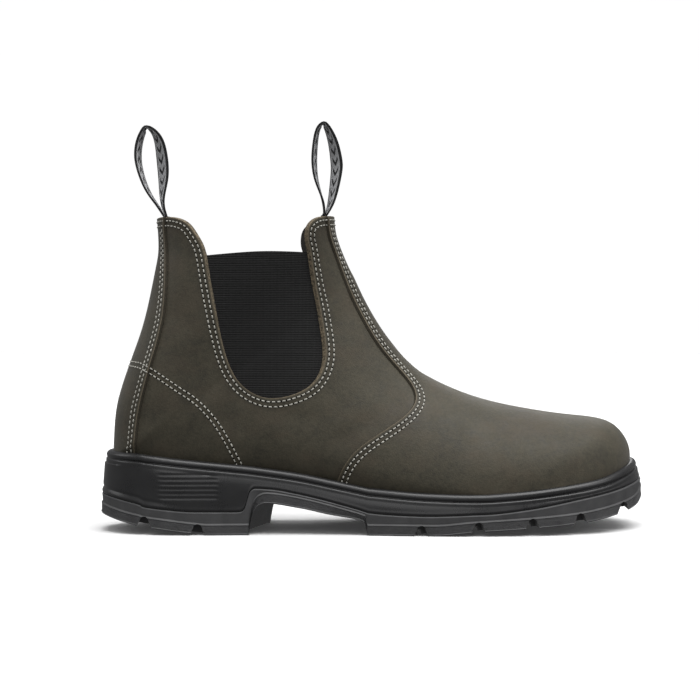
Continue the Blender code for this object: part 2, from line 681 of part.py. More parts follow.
def ring_solid(name, rings):
    """A closed solid from rings of (outward distance, heights) round the sole's outline, top to bottom."""
    loop, _ = sole_loop()
    normals = outward(loop)
    count = len(loop)
    points = []
    for distance, heights in rings:
        flat = loop + normals * np.reshape(distance, (-1, 1))
        points += [(x, y, z) for (x, y), z in zip(flat, np.broadcast_to(heights, count))]
    faces = []
    for ring in range(len(rings) - 1):
        for i in range(count):
            a, b = ring * count + i, ring * count + (i + 1) % count
            faces.append((a, b, b + count, a + count))
    for start in (0, (len(rings) - 1) * count):
        loop_faces = across([start, *range(start + 1, start + count), start])
        faces += loop_faces
    return new_object(name, points, faces)


def make_midsole():
    """The moulded wall with its bead, groove and ridge, down to the joint line with the outsole."""
    _, zones = sole_loop()
    rim = height(FEATHER, zones)
    join = height(JOIN, zones) + CLEARANCE / 2
    rings = [
        (BEAD_OUT * 0.35, rim),
        (BEAD_OUT * 0.80, rim - RIM_HEIGHT * 0.14),
        (BEAD_OUT, rim - RIM_HEIGHT * 0.42),
        (GROOVE_OUT, rim - RIM_HEIGHT * 0.60),
        (RIDGE_OUT, rim - RIM_HEIGHT * 0.78),
        (WALL_TOP_OUT, rim - RIM_HEIGHT * 1.0),
        (WALL_OUT, join),
        (JOIN_OUT, join),
    ]
    midsole = ring_solid("midsole", rings)
    boolean(midsole, last_form("seat", CLEARANCE, CLEARANCE), "DIFFERENCE")
    for outline in (vamp_outline(CLEARANCE), back_outline(CLEARANCE)):
        room = last_form("room", OVERLAY + 2 * CLEARANCE, CLEARANCE)
        boolean(room, prism("cut", outline, -BALL_WIDTH, BALL_WIDTH), "INTERSECT")
        boolean(midsole, room, "DIFFERENCE")
    return finish_mesh(midsole, "foam")


def slot_cutter(x, y_from, y_to, width, top, bottom):
    """A slot along Y with a round, narrower top, to be cut from below."""
    radius = width * NOTCH_TAPER / 2
    arc = [math.pi * i / 4 for i in range(5)]
    outline = [(x + radius * math.cos(a), top - radius + radius * math.sin(a)) for a in arc]
    outline += [(x - width / 2, bottom), (x + width / 2, bottom)]
    return prism("slot", outline, y_from, y_to)


def make_outsole():
    """The lugged rubber: heel block, waist and forefoot in one piece, notched round its edge."""
    loop, zones = sole_loop()
    join = height(JOIN, zones) - CLEARANCE / 2
    tread = tread_height(zones)
    lug_top = np.minimum(tread + LUG_HEIGHT, join - LUG_HEIGHT * 0.3)
    rings = [
        (JOIN_OUT, join),
        (SOLE_OUT, join - EDGE_CHAMFER),
        (SOLE_OUT - EDGE_CHAMFER * 0.5, lug_top + EDGE_CHAMFER),
        (LUG_OUT, lug_top),
        (LUG_OUT + EDGE_CHAMFER * 0.5, tread + EDGE_CHAMFER),
        (LUG_OUT - EDGE_CHAMFER * 0.5, tread),
    ]
    outsole = ring_solid("outsole", rings)
    for zone, deep in NOTCHES:
        x, low = float(along(zone)), float(tread_height(zone))
        ys = loop[np.argsort(abs(loop[:, 0] - x))[:4], 1]
        for edge_y, way in ((ys.min(), 1), (ys.max(), -1)):
            ends = sorted((edge_y - way * NOTCH_DEPTH, edge_y + way * NOTCH_DEPTH * deep))
            slot = slot_cutter(x, *ends, NOTCH_WIDTH, low + NOTCH_HEIGHT, low - LUG_HEIGHT * 0.3)
            boolean(outsole, slot, "DIFFERENCE")
    for zone in CROSS_GROOVES:
        x, low = float(along(zone)), float(tread_height(zone))
        groove = slot_cutter(x, -BALL_WIDTH, BALL_WIDTH, GROOVE_WIDTH, low + GROOVE_DEPTH, low - LUG_HEIGHT)
        boolean(outsole, groove, "DIFFERENCE")
    return finish_mesh(outsole, "rubber")


def make_insole():
    """A thin footbed inside the upper, on top of the midsole."""
    _, zones = sole_loop()
    bed = height(FEATHER, zones) - EMBED
    inset = -(LEATHER + TUCK + 3 * CLEARANCE)
    rings = [
        (inset - INSOLE_RIM, bed + INSOLE_THICKNESS),
        (inset, bed),
    ]
    return finish_mesh(ring_solid("insole", rings), "insole")


def wall_x(front, levels, ys):
    """How far along X the inner face of the collar's wall lies, at heights and distances from the middle."""
    grid, corner = last_grid(-LEATHER)
    middle = grid.shape[1] // 2
    face = grid[corner:]
    if front:
        face = face[:, middle - 4 : middle + 5]
    else:
        face = np.concatenate([face[:, 4::-1], face[:, -2:-6:-1]], axis=1)
    found = []
    for level, y in zip(levels, ys):
        at_y = [(np.interp(y, row[:, 1], row[:, 2]), np.interp(y, row[:, 1], row[:, 0])) for row in face]
        found.append(np.interp(level, *zip(*at_y)))
    return np.array(found)


def loop_outline(table, lean, share, shift, inset):
    """One end of a pull loop seen from the side: the webbing's outer edge, or its inner edge when inset."""
    curve = spline(table, np.linspace(0, len(table) - 1, LOOP_STEPS * (len(table) - 1) + 1))
    middle = lean * curve[:, 1]
    bulge = shift * np.sin(math.pi * np.clip(curve[:, 1], 0, 1))
    curve = np.stack([middle + share * (curve[:, 0] - middle) + bulge, curve[:, 1]], axis=1) * LOOP_HEIGHT
    if inset:
        way = np.gradient(curve, axis=0)
        way /= np.linalg.norm(way, axis=1, keepdims=True)
        curve = curve + inset * np.stack([way[:, 1], -way[:, 0]], axis=1)
        split = len(curve) // 2
        left, right = curve[:split], curve[split:]
        gap = np.interp(left[:, 1], right[::-1, 1], right[::-1, 0]) - left[:, 0]
        low = left[np.argmax(gap > WEBBING / 2), 1]
        curve = np.concatenate([left[left[:, 1] >= low], right[right[:, 1] >= low]])
    steps = np.concatenate([[0], np.cumsum(np.linalg.norm(np.diff(curve, axis=0), axis=1))])
    at = np.linspace(0, steps[-1], LOOP_STEPS * len(table))
    return np.stack([np.interp(at, steps, curve[:, 0]), np.interp(at, steps, curve[:, 1])], axis=1)


def loop_body(name, root, table, lean, shift, inset, reach):
    """A solid between the two ends of a pull loop, reaching past the webbing's width by reach."""
    near = loop_outline(table, lean, 1.0, 0.0, inset)
    far = loop_outline(table, lean, LOOP_FAR_SHARE, shift, inset)
    count = len(near)
    points = []
    for share in (-reach, 0.5, 1 + reach):
        outline = near + (far - near) * share
        points += [(root[0] + x, LOOP_WIDTH * (share - 0.5), root[1] + z) for x, z in outline]
    faces = [tuple(range(count)), tuple(range(2 * count, 3 * count))]
    for start in (0, count):
        for i in range(count):
            a, b = start + i, start + (i + 1) % count
            faces.append((a, b, b + count, a + count))
    return new_object(name, points, faces)


def make_loop(name, front):
    """A pull loop of webbing, wider at its outer end, with its two tails sewn inside the collar."""
    ear = FRONT_EAR[-1] if front else REAR_EAR[0]
    side = -1 if front else 1
    root_z = ear[1] * BOOT_HEIGHT + 3 * CLEARANCE
    near_wall = CLEARANCE + WEBBING
    root = (wall_x(front, [root_z], [0.0])[0] + side * near_wall, root_z)
    table, (lean, shift) = (FRONT_LOOP, LOOP_LEANS["front"]) if front else (REAR_LOOP, LOOP_LEANS["rear"])
    loop = loop_body(name, root, table, lean, shift, 0.0, 0.0)
    boolean(loop, loop_body("gap", root, table, lean, shift, WEBBING, 0.1), "DIFFERENCE")
    boolean(loop, loop_tail(front, side, root_z), "UNION")
    return finish_mesh(loop, "webbing")


def loop_tail(front, side, root_z):
    """The two ends of the webbing, laid together down the inside of the collar's wall."""
    levels = np.array([-1.0, -0.5, 0.0, 0.3]) * LOOP_TAIL + root_z
    stations = np.linspace(-0.49, 0.49, 5) * LOOP_WIDTH
    grid_level, grid_y = (g.ravel() for g in np.meshgrid(levels, stations, indexing="ij"))
    wall = wall_x(front, grid_level, grid_y)
    points = []
    for depth in (CLEARANCE, CLEARANCE + 2 * WEBBING):
        points += list(zip(wall + side * depth, grid_y, grid_level))
    wide, tall = len(stations), len(levels)
    faces = []
    for face in (0, wide * tall):
        for i in range(tall - 1):
            for j in range(wide - 1):
                a = face + i * wide + j
                faces.append((a, a + 1, a + wide + 1, a + wide))
    rim = [*range(wide), *(i * wide + wide - 1 for i in range(1, tall))]
    rim += [(tall - 1) * wide + j for j in range(wide - 2, -1, -1)]
    rim += [i * wide for i in range(tall - 2, 0, -1)]
    for i, a in enumerate(rim):
        b = rim[(i + 1) % len(rim)]
        faces.append((a, b, b + wide * tall, a + wide * tall))
    return new_object("tail", points, faces)


def build():
    clear_scene()
    make_outsole()
    make_midsole()
    make_insole()
    make_upper()
    overlay("vamp", vamp_outline())
    overlay("back_stay", back_outline())
    make_gore("gore_outer", -1)
    make_gore("gore_inner", 1)
    make_loop("pull_loop_rear", False)
    make_loop("pull_loop_front", True)


build()
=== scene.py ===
"""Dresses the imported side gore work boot: leather panels, elastic, webbing, stitching and the moulded sole.

Metres in the row's frame, +X towards the toe, +Y towards the inner side of the foot, +Z up."""

import math

import bmesh
import bpy
import numpy as np
from bpy.props import FloatProperty, FloatVectorProperty, PointerProperty
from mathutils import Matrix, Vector
from mathutils.bvhtree import BVHTree


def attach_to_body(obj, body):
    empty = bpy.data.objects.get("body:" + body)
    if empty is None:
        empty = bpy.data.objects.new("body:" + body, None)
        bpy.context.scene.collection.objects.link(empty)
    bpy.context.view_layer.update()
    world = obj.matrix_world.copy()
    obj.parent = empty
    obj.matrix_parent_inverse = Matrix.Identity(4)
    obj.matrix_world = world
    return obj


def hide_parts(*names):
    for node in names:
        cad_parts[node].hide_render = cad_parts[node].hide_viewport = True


bl_info = {
    "name": "Side Gore Work Boot",
    "version": (1, 0, 0),
    "blender": (4, 5, 0),
    "location": "3D View > Sidebar > Boot",
    "description": "Builds the leather, elastic, webbing, stitching and sole of a side gore work boot",
    "category": "Object",
}

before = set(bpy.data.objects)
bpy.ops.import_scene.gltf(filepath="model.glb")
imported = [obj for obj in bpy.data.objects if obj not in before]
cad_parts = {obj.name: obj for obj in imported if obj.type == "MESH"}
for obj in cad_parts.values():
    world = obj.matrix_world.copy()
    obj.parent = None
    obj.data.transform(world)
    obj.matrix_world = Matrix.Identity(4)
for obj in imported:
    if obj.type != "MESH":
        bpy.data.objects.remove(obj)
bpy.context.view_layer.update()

# Driving dimensions, in metres
SOLE_LENGTH = 0.303
HEEL_LENGTH = 0.0815
TREAD_START = 0.1465
BALL_WIDTH = 0.100
SHAFT_WIDTH = 0.070
SEAT_HEIGHT = 0.044
TOE_SPRING = 0.0178
HEEL_ROCKER = 0.0100
BOOT_HEIGHT = 0.1715
BREAST_SLANT = 0.013
HEEL_REST = 0.070

LEATHER = 0.0022
OVERLAY = 0.0012
ELASTIC = 0.0015
GORE_MARGIN = 0.006
CLEARANCE = 0.0003
TUCK = 0.0025
EMBED = 0.005

WALL_OUT = 0.0073
JOIN_OUT = 0.0066
SOLE_OUT = 0.0075
LUG_OUT = 0.0078
LUG_HEIGHT = 0.0056
EDGE_CHAMFER = 0.0006

INSOLE_THICKNESS = 0.0035
INSOLE_RIM = 0.0035

NOTCH_DEPTH = 0.017
NOTCH_TAPER = 0.55
GROOVE_WIDTH = 0.0036
GROOVE_DEPTH = 0.0026

LOOP_WIDTH = 0.015
WEBBING = 0.0012
LOOP_HEIGHT = 0.051
LOOP_TAIL = 0.012
LOOP_FAR_SHARE = 0.54

# The zones of the sole along its length: 0 to 1 is the heel, 1 to 2 the waist, 2 to 3 the forefoot
ZONES = (0.0, HEEL_LENGTH, TREAD_START, SOLE_LENGTH)

# Heights along the sole: zone, share of the seat height, share of the toe spring
FEATHER = [
    (0.00, 1.000, 0.00), (0.28, 0.976, 0.00), (0.58, 0.915, 0.00), (0.92, 0.850, 0.00),
    (1.40, 0.750, 0.00), (1.72, 0.655, 0.00), (2.00, 0.570, 0.00), (2.20, 0.508, 0.01),
    (2.38, 0.487, 0.03), (2.50, 0.486, 0.10), (2.65, 0.480, 0.25), (2.82, 0.465, 0.50),
    (2.95, 0.450, 0.86), (3.00, 0.448, 1.02),
]
JOIN = [
    (0.00, 0.477, 0.00), (0.22, 0.396, 0.00), (0.40, 0.325, 0.00), (0.65, 0.285, 0.00),
    (0.90, 0.282, 0.00), (0.945, 0.285, 0.00), (0.962, 0.299, 0.00), (0.975, 0.330, 0.00),
    (0.985, 0.385, 0.00), (0.996, 0.458, 0.00), (1.006, 0.508, 0.00), (1.020, 0.541, 0.00),
    (1.035, 0.558, 0.00), (1.05, 0.567, 0.00), (1.18, 0.556, 0.00), (1.42, 0.495, 0.00),
    (1.90, 0.320, 0.00), (2.06, 0.255, 0.00), (2.20, 0.239, 0.00), (2.38, 0.250, 0.03),
    (2.54, 0.250, 0.18), (2.70, 0.245, 0.43), (2.87, 0.230, 0.72), (3.00, 0.225, 1.00),
]
TREAD = [
    (0.98, 0.000, 0.00), (1.00, 0.000, 0.00), (1.015, 0.120, 0.00), (1.04, 0.270, 0.00),
    (1.08, 0.350, 0.00), (1.14, 0.382, 0.00), (1.42, 0.327, 0.00), (1.67, 0.250, 0.00),
    (1.93, 0.182, 0.00), (1.97, 0.150, 0.00), (2.00, 0.000, 0.00), (2.22, 0.000, 0.00),
    (2.345, 0.000, 0.10), (2.545, 0.000, 0.215), (2.725, 0.000, 0.345), (2.90, 0.000, 0.61),
    (2.955, 0.000, 0.76), (3.00, 0.000, 1.05),
]
# The heel's tread rises towards the back: zone, share of the heel rocker
HEEL_TREAD = [(0.00, 1.00), (0.25, 0.52), (0.40, 0.34), (0.62, 0.09), (0.74, 0.0), (0.98, 0.0)]

# The outline of the upper where it meets the sole's rim, from the back of the heel to the ball:
# share of the sole's length, then of the ball's width on the outer and the inner side
OUTLINE = [
    (0.0285, 0.000, 0.000), (0.0318, 0.090, 0.090), (0.0440, 0.165, 0.165), (0.0680, 0.233, 0.231),
    (0.1070, 0.286, 0.281), (0.1620, 0.306, 0.296), (0.2480, 0.309, 0.286), (0.3470, 0.319, 0.274),
    (0.4460, 0.352, 0.290), (0.5280, 0.402, 0.342), (0.6100, 0.446, 0.414), (0.6770, 0.469, 0.466),
    (0.7330, 0.474, 0.494),
]

# The last, as sections that fan from the toe to the collar. Each lies between its two ends on the
# outline (edge, a row of OUTLINE) or on the back line, and its crest on the vamp or the shaft's front.
SECTION_COLUMNS = (
    "edge",  # row of the outline where the section ends
    "back_x",  # back line: share of the sole's length, used from the heel's corner on
    "back_z",  # back line: share of the boot's height
    "crest_x",  # share of the sole's length
    "crest_z",  # above the section's lower end: share of the boot's height over the heel's corner
    "swing",  # the crest's shift to the inner side, share of the ball's width
    "outer",  # widest point from the crest's line, shares of the ball's width
    "inner",
    "shaft",  # the same on both sides, share of the shaft's width
    "belly",  # where the widest point lies, from the ends to the crest
    "crown",  # how square the section is above its widest point: 2 is an ellipse
    "bilge",  # the same below it
    "bow",  # sag of the section's line, share of the ball's width
)
SECTIONS = [
    (12.0, 0.0285, 0.222, 0.9690, 0.1001, 0.090, 0.546, 0.386, 0.0, 0.05, 2.25, 2.0, 0.030),
    (11.9, 0.0285, 0.222, 0.9760, 0.1529, 0.090, 0.568, 0.408, 0.0, 0.06, 2.25, 2.0, 0.025),
    (11.75, 0.0285, 0.222, 0.9725, 0.2140, 0.088, 0.568, 0.410, 0.0, 0.07, 2.28, 2.0, 0.018),
    (11.55, 0.0285, 0.222, 0.9565, 0.2715, 0.084, 0.565, 0.413, 0.0, 0.08, 2.32, 2.0, 0.010),
    (11.3, 0.0285, 0.222, 0.9260, 0.3109, 0.078, 0.560, 0.418, 0.0, 0.09, 2.36, 2.0, 0.004),
    (11.0, 0.0285, 0.222, 0.8640, 0.3303, 0.066, 0.548, 0.432, 0.0, 0.11, 2.32, 2.0, 0.0),
    (10.55, 0.0285, 0.222, 0.7850, 0.3561, 0.050, 0.530, 0.446, 0.0, 0.14, 2.18, 2.0, 0.0),
    (9.9, 0.0285, 0.222, 0.7050, 0.3920, 0.036, 0.502, 0.446, 0.0, 0.17, 2.05, 2.0, 0.0),
    (9.1, 0.0285, 0.222, 0.6270, 0.4512, 0.024, 0.460, 0.418, 0.0, 0.20, 1.95, 2.0, 0.0),
    (8.1, 0.0285, 0.222, 0.5680, 0.5093, 0.015, 0.415, 0.377, 0.0, 0.23, 1.90, 2.0, 0.0),
    (7.0, 0.0285, 0.222, 0.5250, 0.5689, 0.009, 0.200, 0.180, 0.255, 0.26, 1.92, 2.0, 0.0),
    (5.9, 0.0285, 0.222, 0.4960, 0.6360, 0.005, 0.060, 0.050, 0.430, 0.29, 1.98, 2.05, 0.0),
    (4.6, 0.0285, 0.222, 0.4780, 0.6879, 0.002, 0.010, 0.006, 0.480, 0.31, 2.04, 2.15, 0.0),
    (3.2, 0.0285, 0.222, 0.4680, 0.7205, 0.0, 0.004, 0.0, 0.482, 0.33, 2.10, 2.22, 0.0),
    (1.6, 0.0285, 0.222, 0.4615, 0.7486, 0.0, 0.0, 0.0, 0.482, 0.34, 2.14, 2.28, 0.0),
    (0.0, 0.0285, 0.226, 0.4555, 0.7735, 0.0, 0.0, 0.0, 0.482, 0.35, 2.18, 2.30, 0.0),
    (0.0, 0.0303, 0.300, 0.4485, 0.8058, 0.0, 0.0, 0.0, 0.482, 0.36, 2.20, 2.30, 0.0),
    (0.0, 0.0355, 0.400, 0.4405, 0.8473, 0.0, 0.0, 0.0, 0.482, 0.38, 2.22, 2.28, 0.0),
    (0.0, 0.0540, 0.510, 0.4345, 0.8809, 0.0, 0.0, 0.0, 0.484, 0.41, 2.24, 2.26, 0.0),
    (0.0, 0.0786, 0.630, 0.4290, 0.9172, 0.0, 0.0, 0.0, 0.487, 0.44, 2.26, 2.24, 0.0),
    (0.0, 0.0962, 0.755, 0.4255, 0.9508, 0.0, 0.0, 0.0, 0.491, 0.46, 2.28, 2.22, 0.0),
    (0.0, 0.1072, 0.850, 0.4235, 0.9871, 0.0, 0.0, 0.0, 0.494, 0.48, 2.30, 2.20, 0.0),
    (0.0, 0.1108, 0.925, 0.4225, 1.0285, 0.0, 0.0, 0.0, 0.497, 0.49, 2.30, 2.20, 0.0),
    (0.0, 0.1040, 1.070, 0.4215, 1.1035, 0.0, 0.0, 0.0, 0.500, 0.50, 2.30, 2.20, 0.0),
]
HEEL_CORNER = 15  # the first section whose two ends meet on the back line
LOWER_COLUMNS = (0.06, 0.75)  # share of a section's columns below its widest point: at least, and per belly

# Side view outlines, as shares of the sole's length and the boot's height
REAR_EAR = [(0.0980, 0.994), (0.1190, 0.998), (0.1430, 0.990), (0.1620, 0.970), (0.1770, 0.933)]
GORE = [
    (0.1890, 0.889), (0.1985, 0.800), (0.2140, 0.660), (0.2330, 0.535), (0.2620, 0.459), (0.3040, 0.426),
    (0.3500, 0.437), (0.3870, 0.475), (0.4060, 0.545), (0.4050, 0.630), (0.3970, 0.720), (0.3880, 0.800),
    (0.3800, 0.889),
]
FRONT_EAR = [(0.3755, 0.925), (0.3770, 0.962), (0.3870, 0.987), (0.4030, 1.000), (0.4260, 1.006)]
GORE_TOP = [(0.1500, 0.868), (0.2340, 0.881), (0.2870, 0.888), (0.3400, 0.890), (0.4200, 0.890)]
VAMP_SEAM = [
    (0.4080, 1.100), (0.4110, 0.968), (0.4240, 0.890), (0.4500, 0.768), (0.4740, 0.678), (0.4970, 0.606),
    (0.5240, 0.543), (0.5500, 0.490), (0.5655, 0.448), (0.5670, 0.410), (0.5485, 0.369), (0.5075, 0.321),
    (0.4660, 0.272), (0.4390, 0.218), (0.4250, 0.150), (0.4180, 0.050),
]
BACK_SEAM = [
    (0.1210, 1.100), (0.1215, 0.970), (0.1245, 0.900), (0.1250, 0.800), (0.1215, 0.705), (0.1140, 0.630),
    (0.1020, 0.550), (0.0880, 0.465), (0.0770, 0.385), (0.0715, 0.310), (0.0695, 0.230), (0.0690, 0.050),
]

# The outer edges of the pull loops' webbing seen from the outer side, from the root up over the top and
# back: shares of LOOP_HEIGHT, behind or ahead of the root and above it
REAR_LOOP = [
    (-0.026, 0.000), (-0.128, 0.150), (-0.236, 0.305), (-0.319, 0.515), (-0.346, 0.688), (-0.321, 0.849),
    (-0.266, 0.965), (-0.222, 1.000), (-0.142, 0.980), (-0.042, 0.880), (0.013, 0.722), (0.034, 0.540),
    (0.020, 0.367), (-0.012, 0.172), (0.026, 0.000),
]
FRONT_LOOP = [
    (-0.026, 0.000), (-0.040, 0.150), (-0.117, 0.347), (-0.155, 0.510), (-0.158, 0.673), (-0.130, 0.880),
    (-0.082, 0.985), (-0.026, 1.020), (0.038, 0.985), (0.130, 0.820), (0.182, 0.620), (0.187, 0.490),
    (0.154, 0.316), (0.100, 0.131), (0.026, 0.000),
]
# How the middle of each loop leans with its height, and how far its inner edge is shifted
LOOP_LEANS = {"rear": (-0.210, -0.050), "front": (-0.020, -0.006)}

# Where the sole's edge is notched: zone, and how deep as a share of NOTCH_DEPTH
NOTCHES = [(0.315, 1.0), (0.665, 1.0), (2.17, 1.0), (2.362, 1.0), (2.547, 1.0), (2.718, 0.8), (2.890, 0.5)]
# Where grooves cross the whole forefoot's tread
CROSS_GROOVES = (2.17, 2.362, 2.547)


def hermite(xs, ys, at):
    """Reads a table smoothly, with no overshoot between its rows."""
    xs = np.asarray(xs, float)
    ys = np.asarray(ys, float)
    gaps = np.diff(xs)
    slopes = np.diff(ys) / gaps
    ends = np.concatenate([[slopes[0]], np.zeros(len(xs) - 2), [slopes[-1]]])
    same_way = slopes[:-1] * slopes[1:] > 0
    mean = 2 * slopes[:-1] * slopes[1:] / np.where(same_way, slopes[:-1] + slopes[1:], 1.0)
    ends[1:-1] = np.where(same_way, mean, 0.0)
    at = np.clip(np.asarray(at, float), xs[0], xs[-1])
    left = np.clip(np.searchsorted(xs, at, side="right") - 1, 0, len(xs) - 2)
    gap = gaps[left]
    t = (at - xs[left]) / gap
    return (
        (2 * t**3 - 3 * t**2 + 1) * ys[left]
        + (t**3 - 2 * t**2 + t) * gap * ends[left]
        + (3 * t**2 - 2 * t**3) * ys[left + 1]
        + (t**3 - t**2) * gap * ends[left + 1]
    )


def spline(rows, at):
    """A natural cubic spline through the rows of a table, read at fractional row numbers."""
    rows = np.asarray(rows, float)
    count = len(rows)
    system = np.eye(count)
    right = np.zeros_like(rows)
    for i in range(1, count - 1):
        system[i, i - 1 : i + 2] = (1.0, 4.0, 1.0)
        right[i] = 6 * (rows[i - 1] - 2 * rows[i] + rows[i + 1])
    bends = np.linalg.solve(system, right)
    at = np.clip(np.asarray(at, float), 0, count - 1)
    left = np.clip(at.astype(int), 0, count - 2)
    t = (at - left)[..., None]
    return (
        (1 - t) * rows[left]
        + t * rows[left + 1]
        + ((1 - t) ** 3 - (1 - t)) / 6 * bends[left]
        + (t**3 - t) / 6 * bends[left + 1]
    )


def smooth_outline(points, steps):
    """The points of a curve through a short side view outline, in metres."""
    curve = spline(points, np.linspace(0, len(points) - 1, steps * (len(points) - 1) + 1))
    return curve * (SOLE_LENGTH, BOOT_HEIGHT)


def along(zone):
    """The distance from the sole's back end to a zone."""
    return np.interp(zone, range(len(ZONES)), ZONES)


def zone_at(x):
    """The zone at a distance from the sole's back end."""
    return np.interp(x, ZONES, range(len(ZONES)))


def height(table, zone):
    """Reads a table of heights along the sole."""
    rows = np.asarray(table)
    seat = hermite(rows[:, 0], rows[:, 1], zone)
    spring = hermite(rows[:, 0], rows[:, 2], zone)
    return seat * SEAT_HEIGHT + spring * TOE_SPRING


def tread_height(zone):
    """How high the tread runs above the ground."""
    rows = np.asarray(HEEL_TREAD)
    return height(TREAD, zone) + hermite(rows[:, 0], rows[:, 1], zone) * HEEL_ROCKER


def outline_at(row, grow=0.0):
    """(x, half-width) of the outer side, then of the inner side, at a fractional row of the outline,
    moved outwards by grow."""
    row = np.asarray(row, float)
    last_row = len(OUTLINE) - 1
    size = np.array([SOLE_LENGTH, BALL_WIDTH, BALL_WIDTH])
    read = spline(OUTLINE, row) * size
    ahead = spline(OUTLINE, np.minimum(row + 0.01, last_row)) * size
    behind = spline(OUTLINE, np.maximum(row - 0.01, 0)) * size
    way = ahead - behind
    sides = []
    for side in (1, 2):
        long_way = np.hypot(way[..., 0], way[..., side])
        slope_x = np.where(row > 0, -way[..., side] / long_way, -1.0)
        slope_y = np.where(row > 0, way[..., 0] / long_way, 0.0)
        sides += [read[..., 0] + grow * slope_x, read[..., side] + grow * slope_y]
    return sides


def edge_at(u):
    """The outline's row at which each section ends, which stays at the heel from its corner on."""
    return hermite(range(len(SECTIONS)), [row[0] for row in SECTIONS], u)


def lower_edge(u):
    """How high the last's lower edge runs, under the top of the sole's rim."""
    return height(FEATHER, zone_at(outline_at(edge_at(u))[0])) - EMBED


def last_points(u, v, grow=0.0):
    """Points of the last's surface. u runs over SECTIONS, and v from the outer end (0) over the crest
    (0.5) to the inner end (1). grow moves the whole surface outwards, or inwards when negative."""
    u, v = np.broadcast_arrays(np.asarray(u, float), np.asarray(v, float))
    rows = [row[1:] for row in SECTIONS]
    section = dict(zip(SECTION_COLUMNS[1:], np.moveaxis(spline(rows, u), -1, 0)))
    ahead, behind = np.clip(u + 0.05, 0, len(rows) - 1), np.clip(u - 0.05, 0, len(rows) - 1)
    way = dict(zip(SECTION_COLUMNS[1:], np.moveaxis(spline(rows, ahead) - spline(rows, behind), -1, 0)))
    outer_side = v < 0.5
    on_foot = u < HEEL_CORNER

    # The lower ends: along the outline as far as the heel's corner, then up the back line
    edge = edge_at(u)
    outer_x, outer_y, inner_x, inner_y = outline_at(edge, grow)
    swing = section["swing"] * BALL_WIDTH
    tuck = TUCK * np.clip(edge / 2.0, 0, 1)
    end_y = np.where(outer_side, outer_y + swing, inner_y - swing) - tuck
    end_y = np.where(on_foot & (edge > 0), end_y, 0.0)
    corner_z = lower_edge(HEEL_CORNER)
    corner_share = SECTIONS[HEEL_CORNER][2]
    climb = (BOOT_HEIGHT - corner_z) / (1 - corner_share)
    back_z = corner_z + np.clip(section["back_z"] - corner_share, 0, None) * climb
    back_slope = way["back_x"] * SOLE_LENGTH / np.maximum(way["back_z"] * climb, 1e-9)
    back_x = section["back_x"] * SOLE_LENGTH - grow * np.sqrt(1 + back_slope**2)
    end_x = np.where(on_foot, np.where(outer_side, outer_x, inner_x), back_x)
    end_z = np.where(on_foot, lower_edge(u), back_z)

    # The crest, moved square to its own line
    rise = BOOT_HEIGHT - corner_z
    crest_way_z = way["crest_z"] * rise + lower_edge(ahead) - lower_edge(behind)
    crest_way = np.stack([way["crest_x"] * SOLE_LENGTH, crest_way_z])
    crest_way /= np.hypot(*crest_way)
    crest_x = section["crest_x"] * SOLE_LENGTH + grow * crest_way[1]
    crest_z = lower_edge(u) + section["crest_z"] * rise - grow * crest_way[0]

    # Each section is a closed loop at the shaft, and the same kind of loop cut off at the outline ahead
    belly = section["belly"]
    widest = np.where(outer_side, section["outer"], section["inner"]) * BALL_WIDTH
    widest = widest + section["shaft"] * SHAFT_WIDTH + grow
    t = np.where(outer_side, 2 * v, 2 - 2 * v)
    turn = LOWER_COLUMNS[0] + LOWER_COLUMNS[1] * belly
    low = t < turn
    power = 2 / np.where(low, section["bilge"], section["crown"])
    cut_off = np.arccos(np.clip(end_y / widest, 0, 0.995) ** (1 / power))
    angle = np.where(low, cut_off * (1 - t / turn), (t - turn) / (1 - turn) * math.pi / 2)
    angle = np.clip(angle, 0, math.pi / 2)
    half = widest * np.clip(np.cos(angle), 0, 1) ** power
    up = np.sin(angle) ** power
    share = np.where(low, belly * (1 - up / np.sin(cut_off) ** power), belly + (1 - belly) * up)
    x = end_x + (crest_x - end_x) * share
    z = end_z + (crest_z - end_z) * share - section["bow"] * BALL_WIDTH * 4 * share * (1 - share)
    return np.stack([x, swing + np.where(outer_side, -half, half), z], axis=-1)


def grown(outline, distance):
    """An open side view curve moved to its left by a distance."""
    curve = np.asarray(outline)
    way = np.gradient(curve, axis=0)
    way /= np.linalg.norm(way, axis=1, keepdims=True)
    return curve + distance * np.stack([-way[:, 1], way[:, 0]], axis=1)


def outward(loop):
    """Unit vectors that point out of a closed loop that runs round the outer side first."""
    way = np.roll(loop, -1, axis=0) - np.roll(loop, 1, axis=0)
    way /= np.linalg.norm(way, axis=1, keepdims=True)
    return np.stack([way[:, 1], -way[:, 0]], axis=1)


# How fine the dressed meshes are
SKIN_STEP = 0.0021  # the longest step along the last
SKIN_COLUMNS = 58  # columns of the last's mesh on each side
SNAP = 0.28  # a grid point that lies nearer to a cut than this share of a step moves onto it
LOOP_POINTS = 72
LOOP_COLUMNS = 12
TAIL_ROWS = 12
WALL_RINGS = 46
HEEL_POINTS = 34  # round the heel's back on each side, as far as a row of the outline and a zone
HEEL_ROUND_ROW, HEEL_ROUND_ZONE = 3.6, 0.34
TOE_POINTS = 62

# Flex marks of a boot worn once or twice: a line in the side view (mm from the heel's back and up), how
# deep and how wide in mm, and the side it shows on (-1 outer, 1 inner, 0 both)
CREASES = [
    (150, 62, 128, 50, 0.35, 5.0, 0),
    (166, 68, 148, 84, 0.30, 6.0, 0),
    (118, 60, 96, 66, 0.30, 5.0, -1),
    (62, 62, 84, 54, 0.25, 5.0, 0),
    (193, 40, 205, 58, 0.22, 4.5, -1),
    (200, 38, 214, 54, 0.18, 4.0, 1),
    (38, 118, 52, 112, 0.25, 6.0, 0),
    (34, 70, 30, 96, -0.35, 9.0, 0),
]

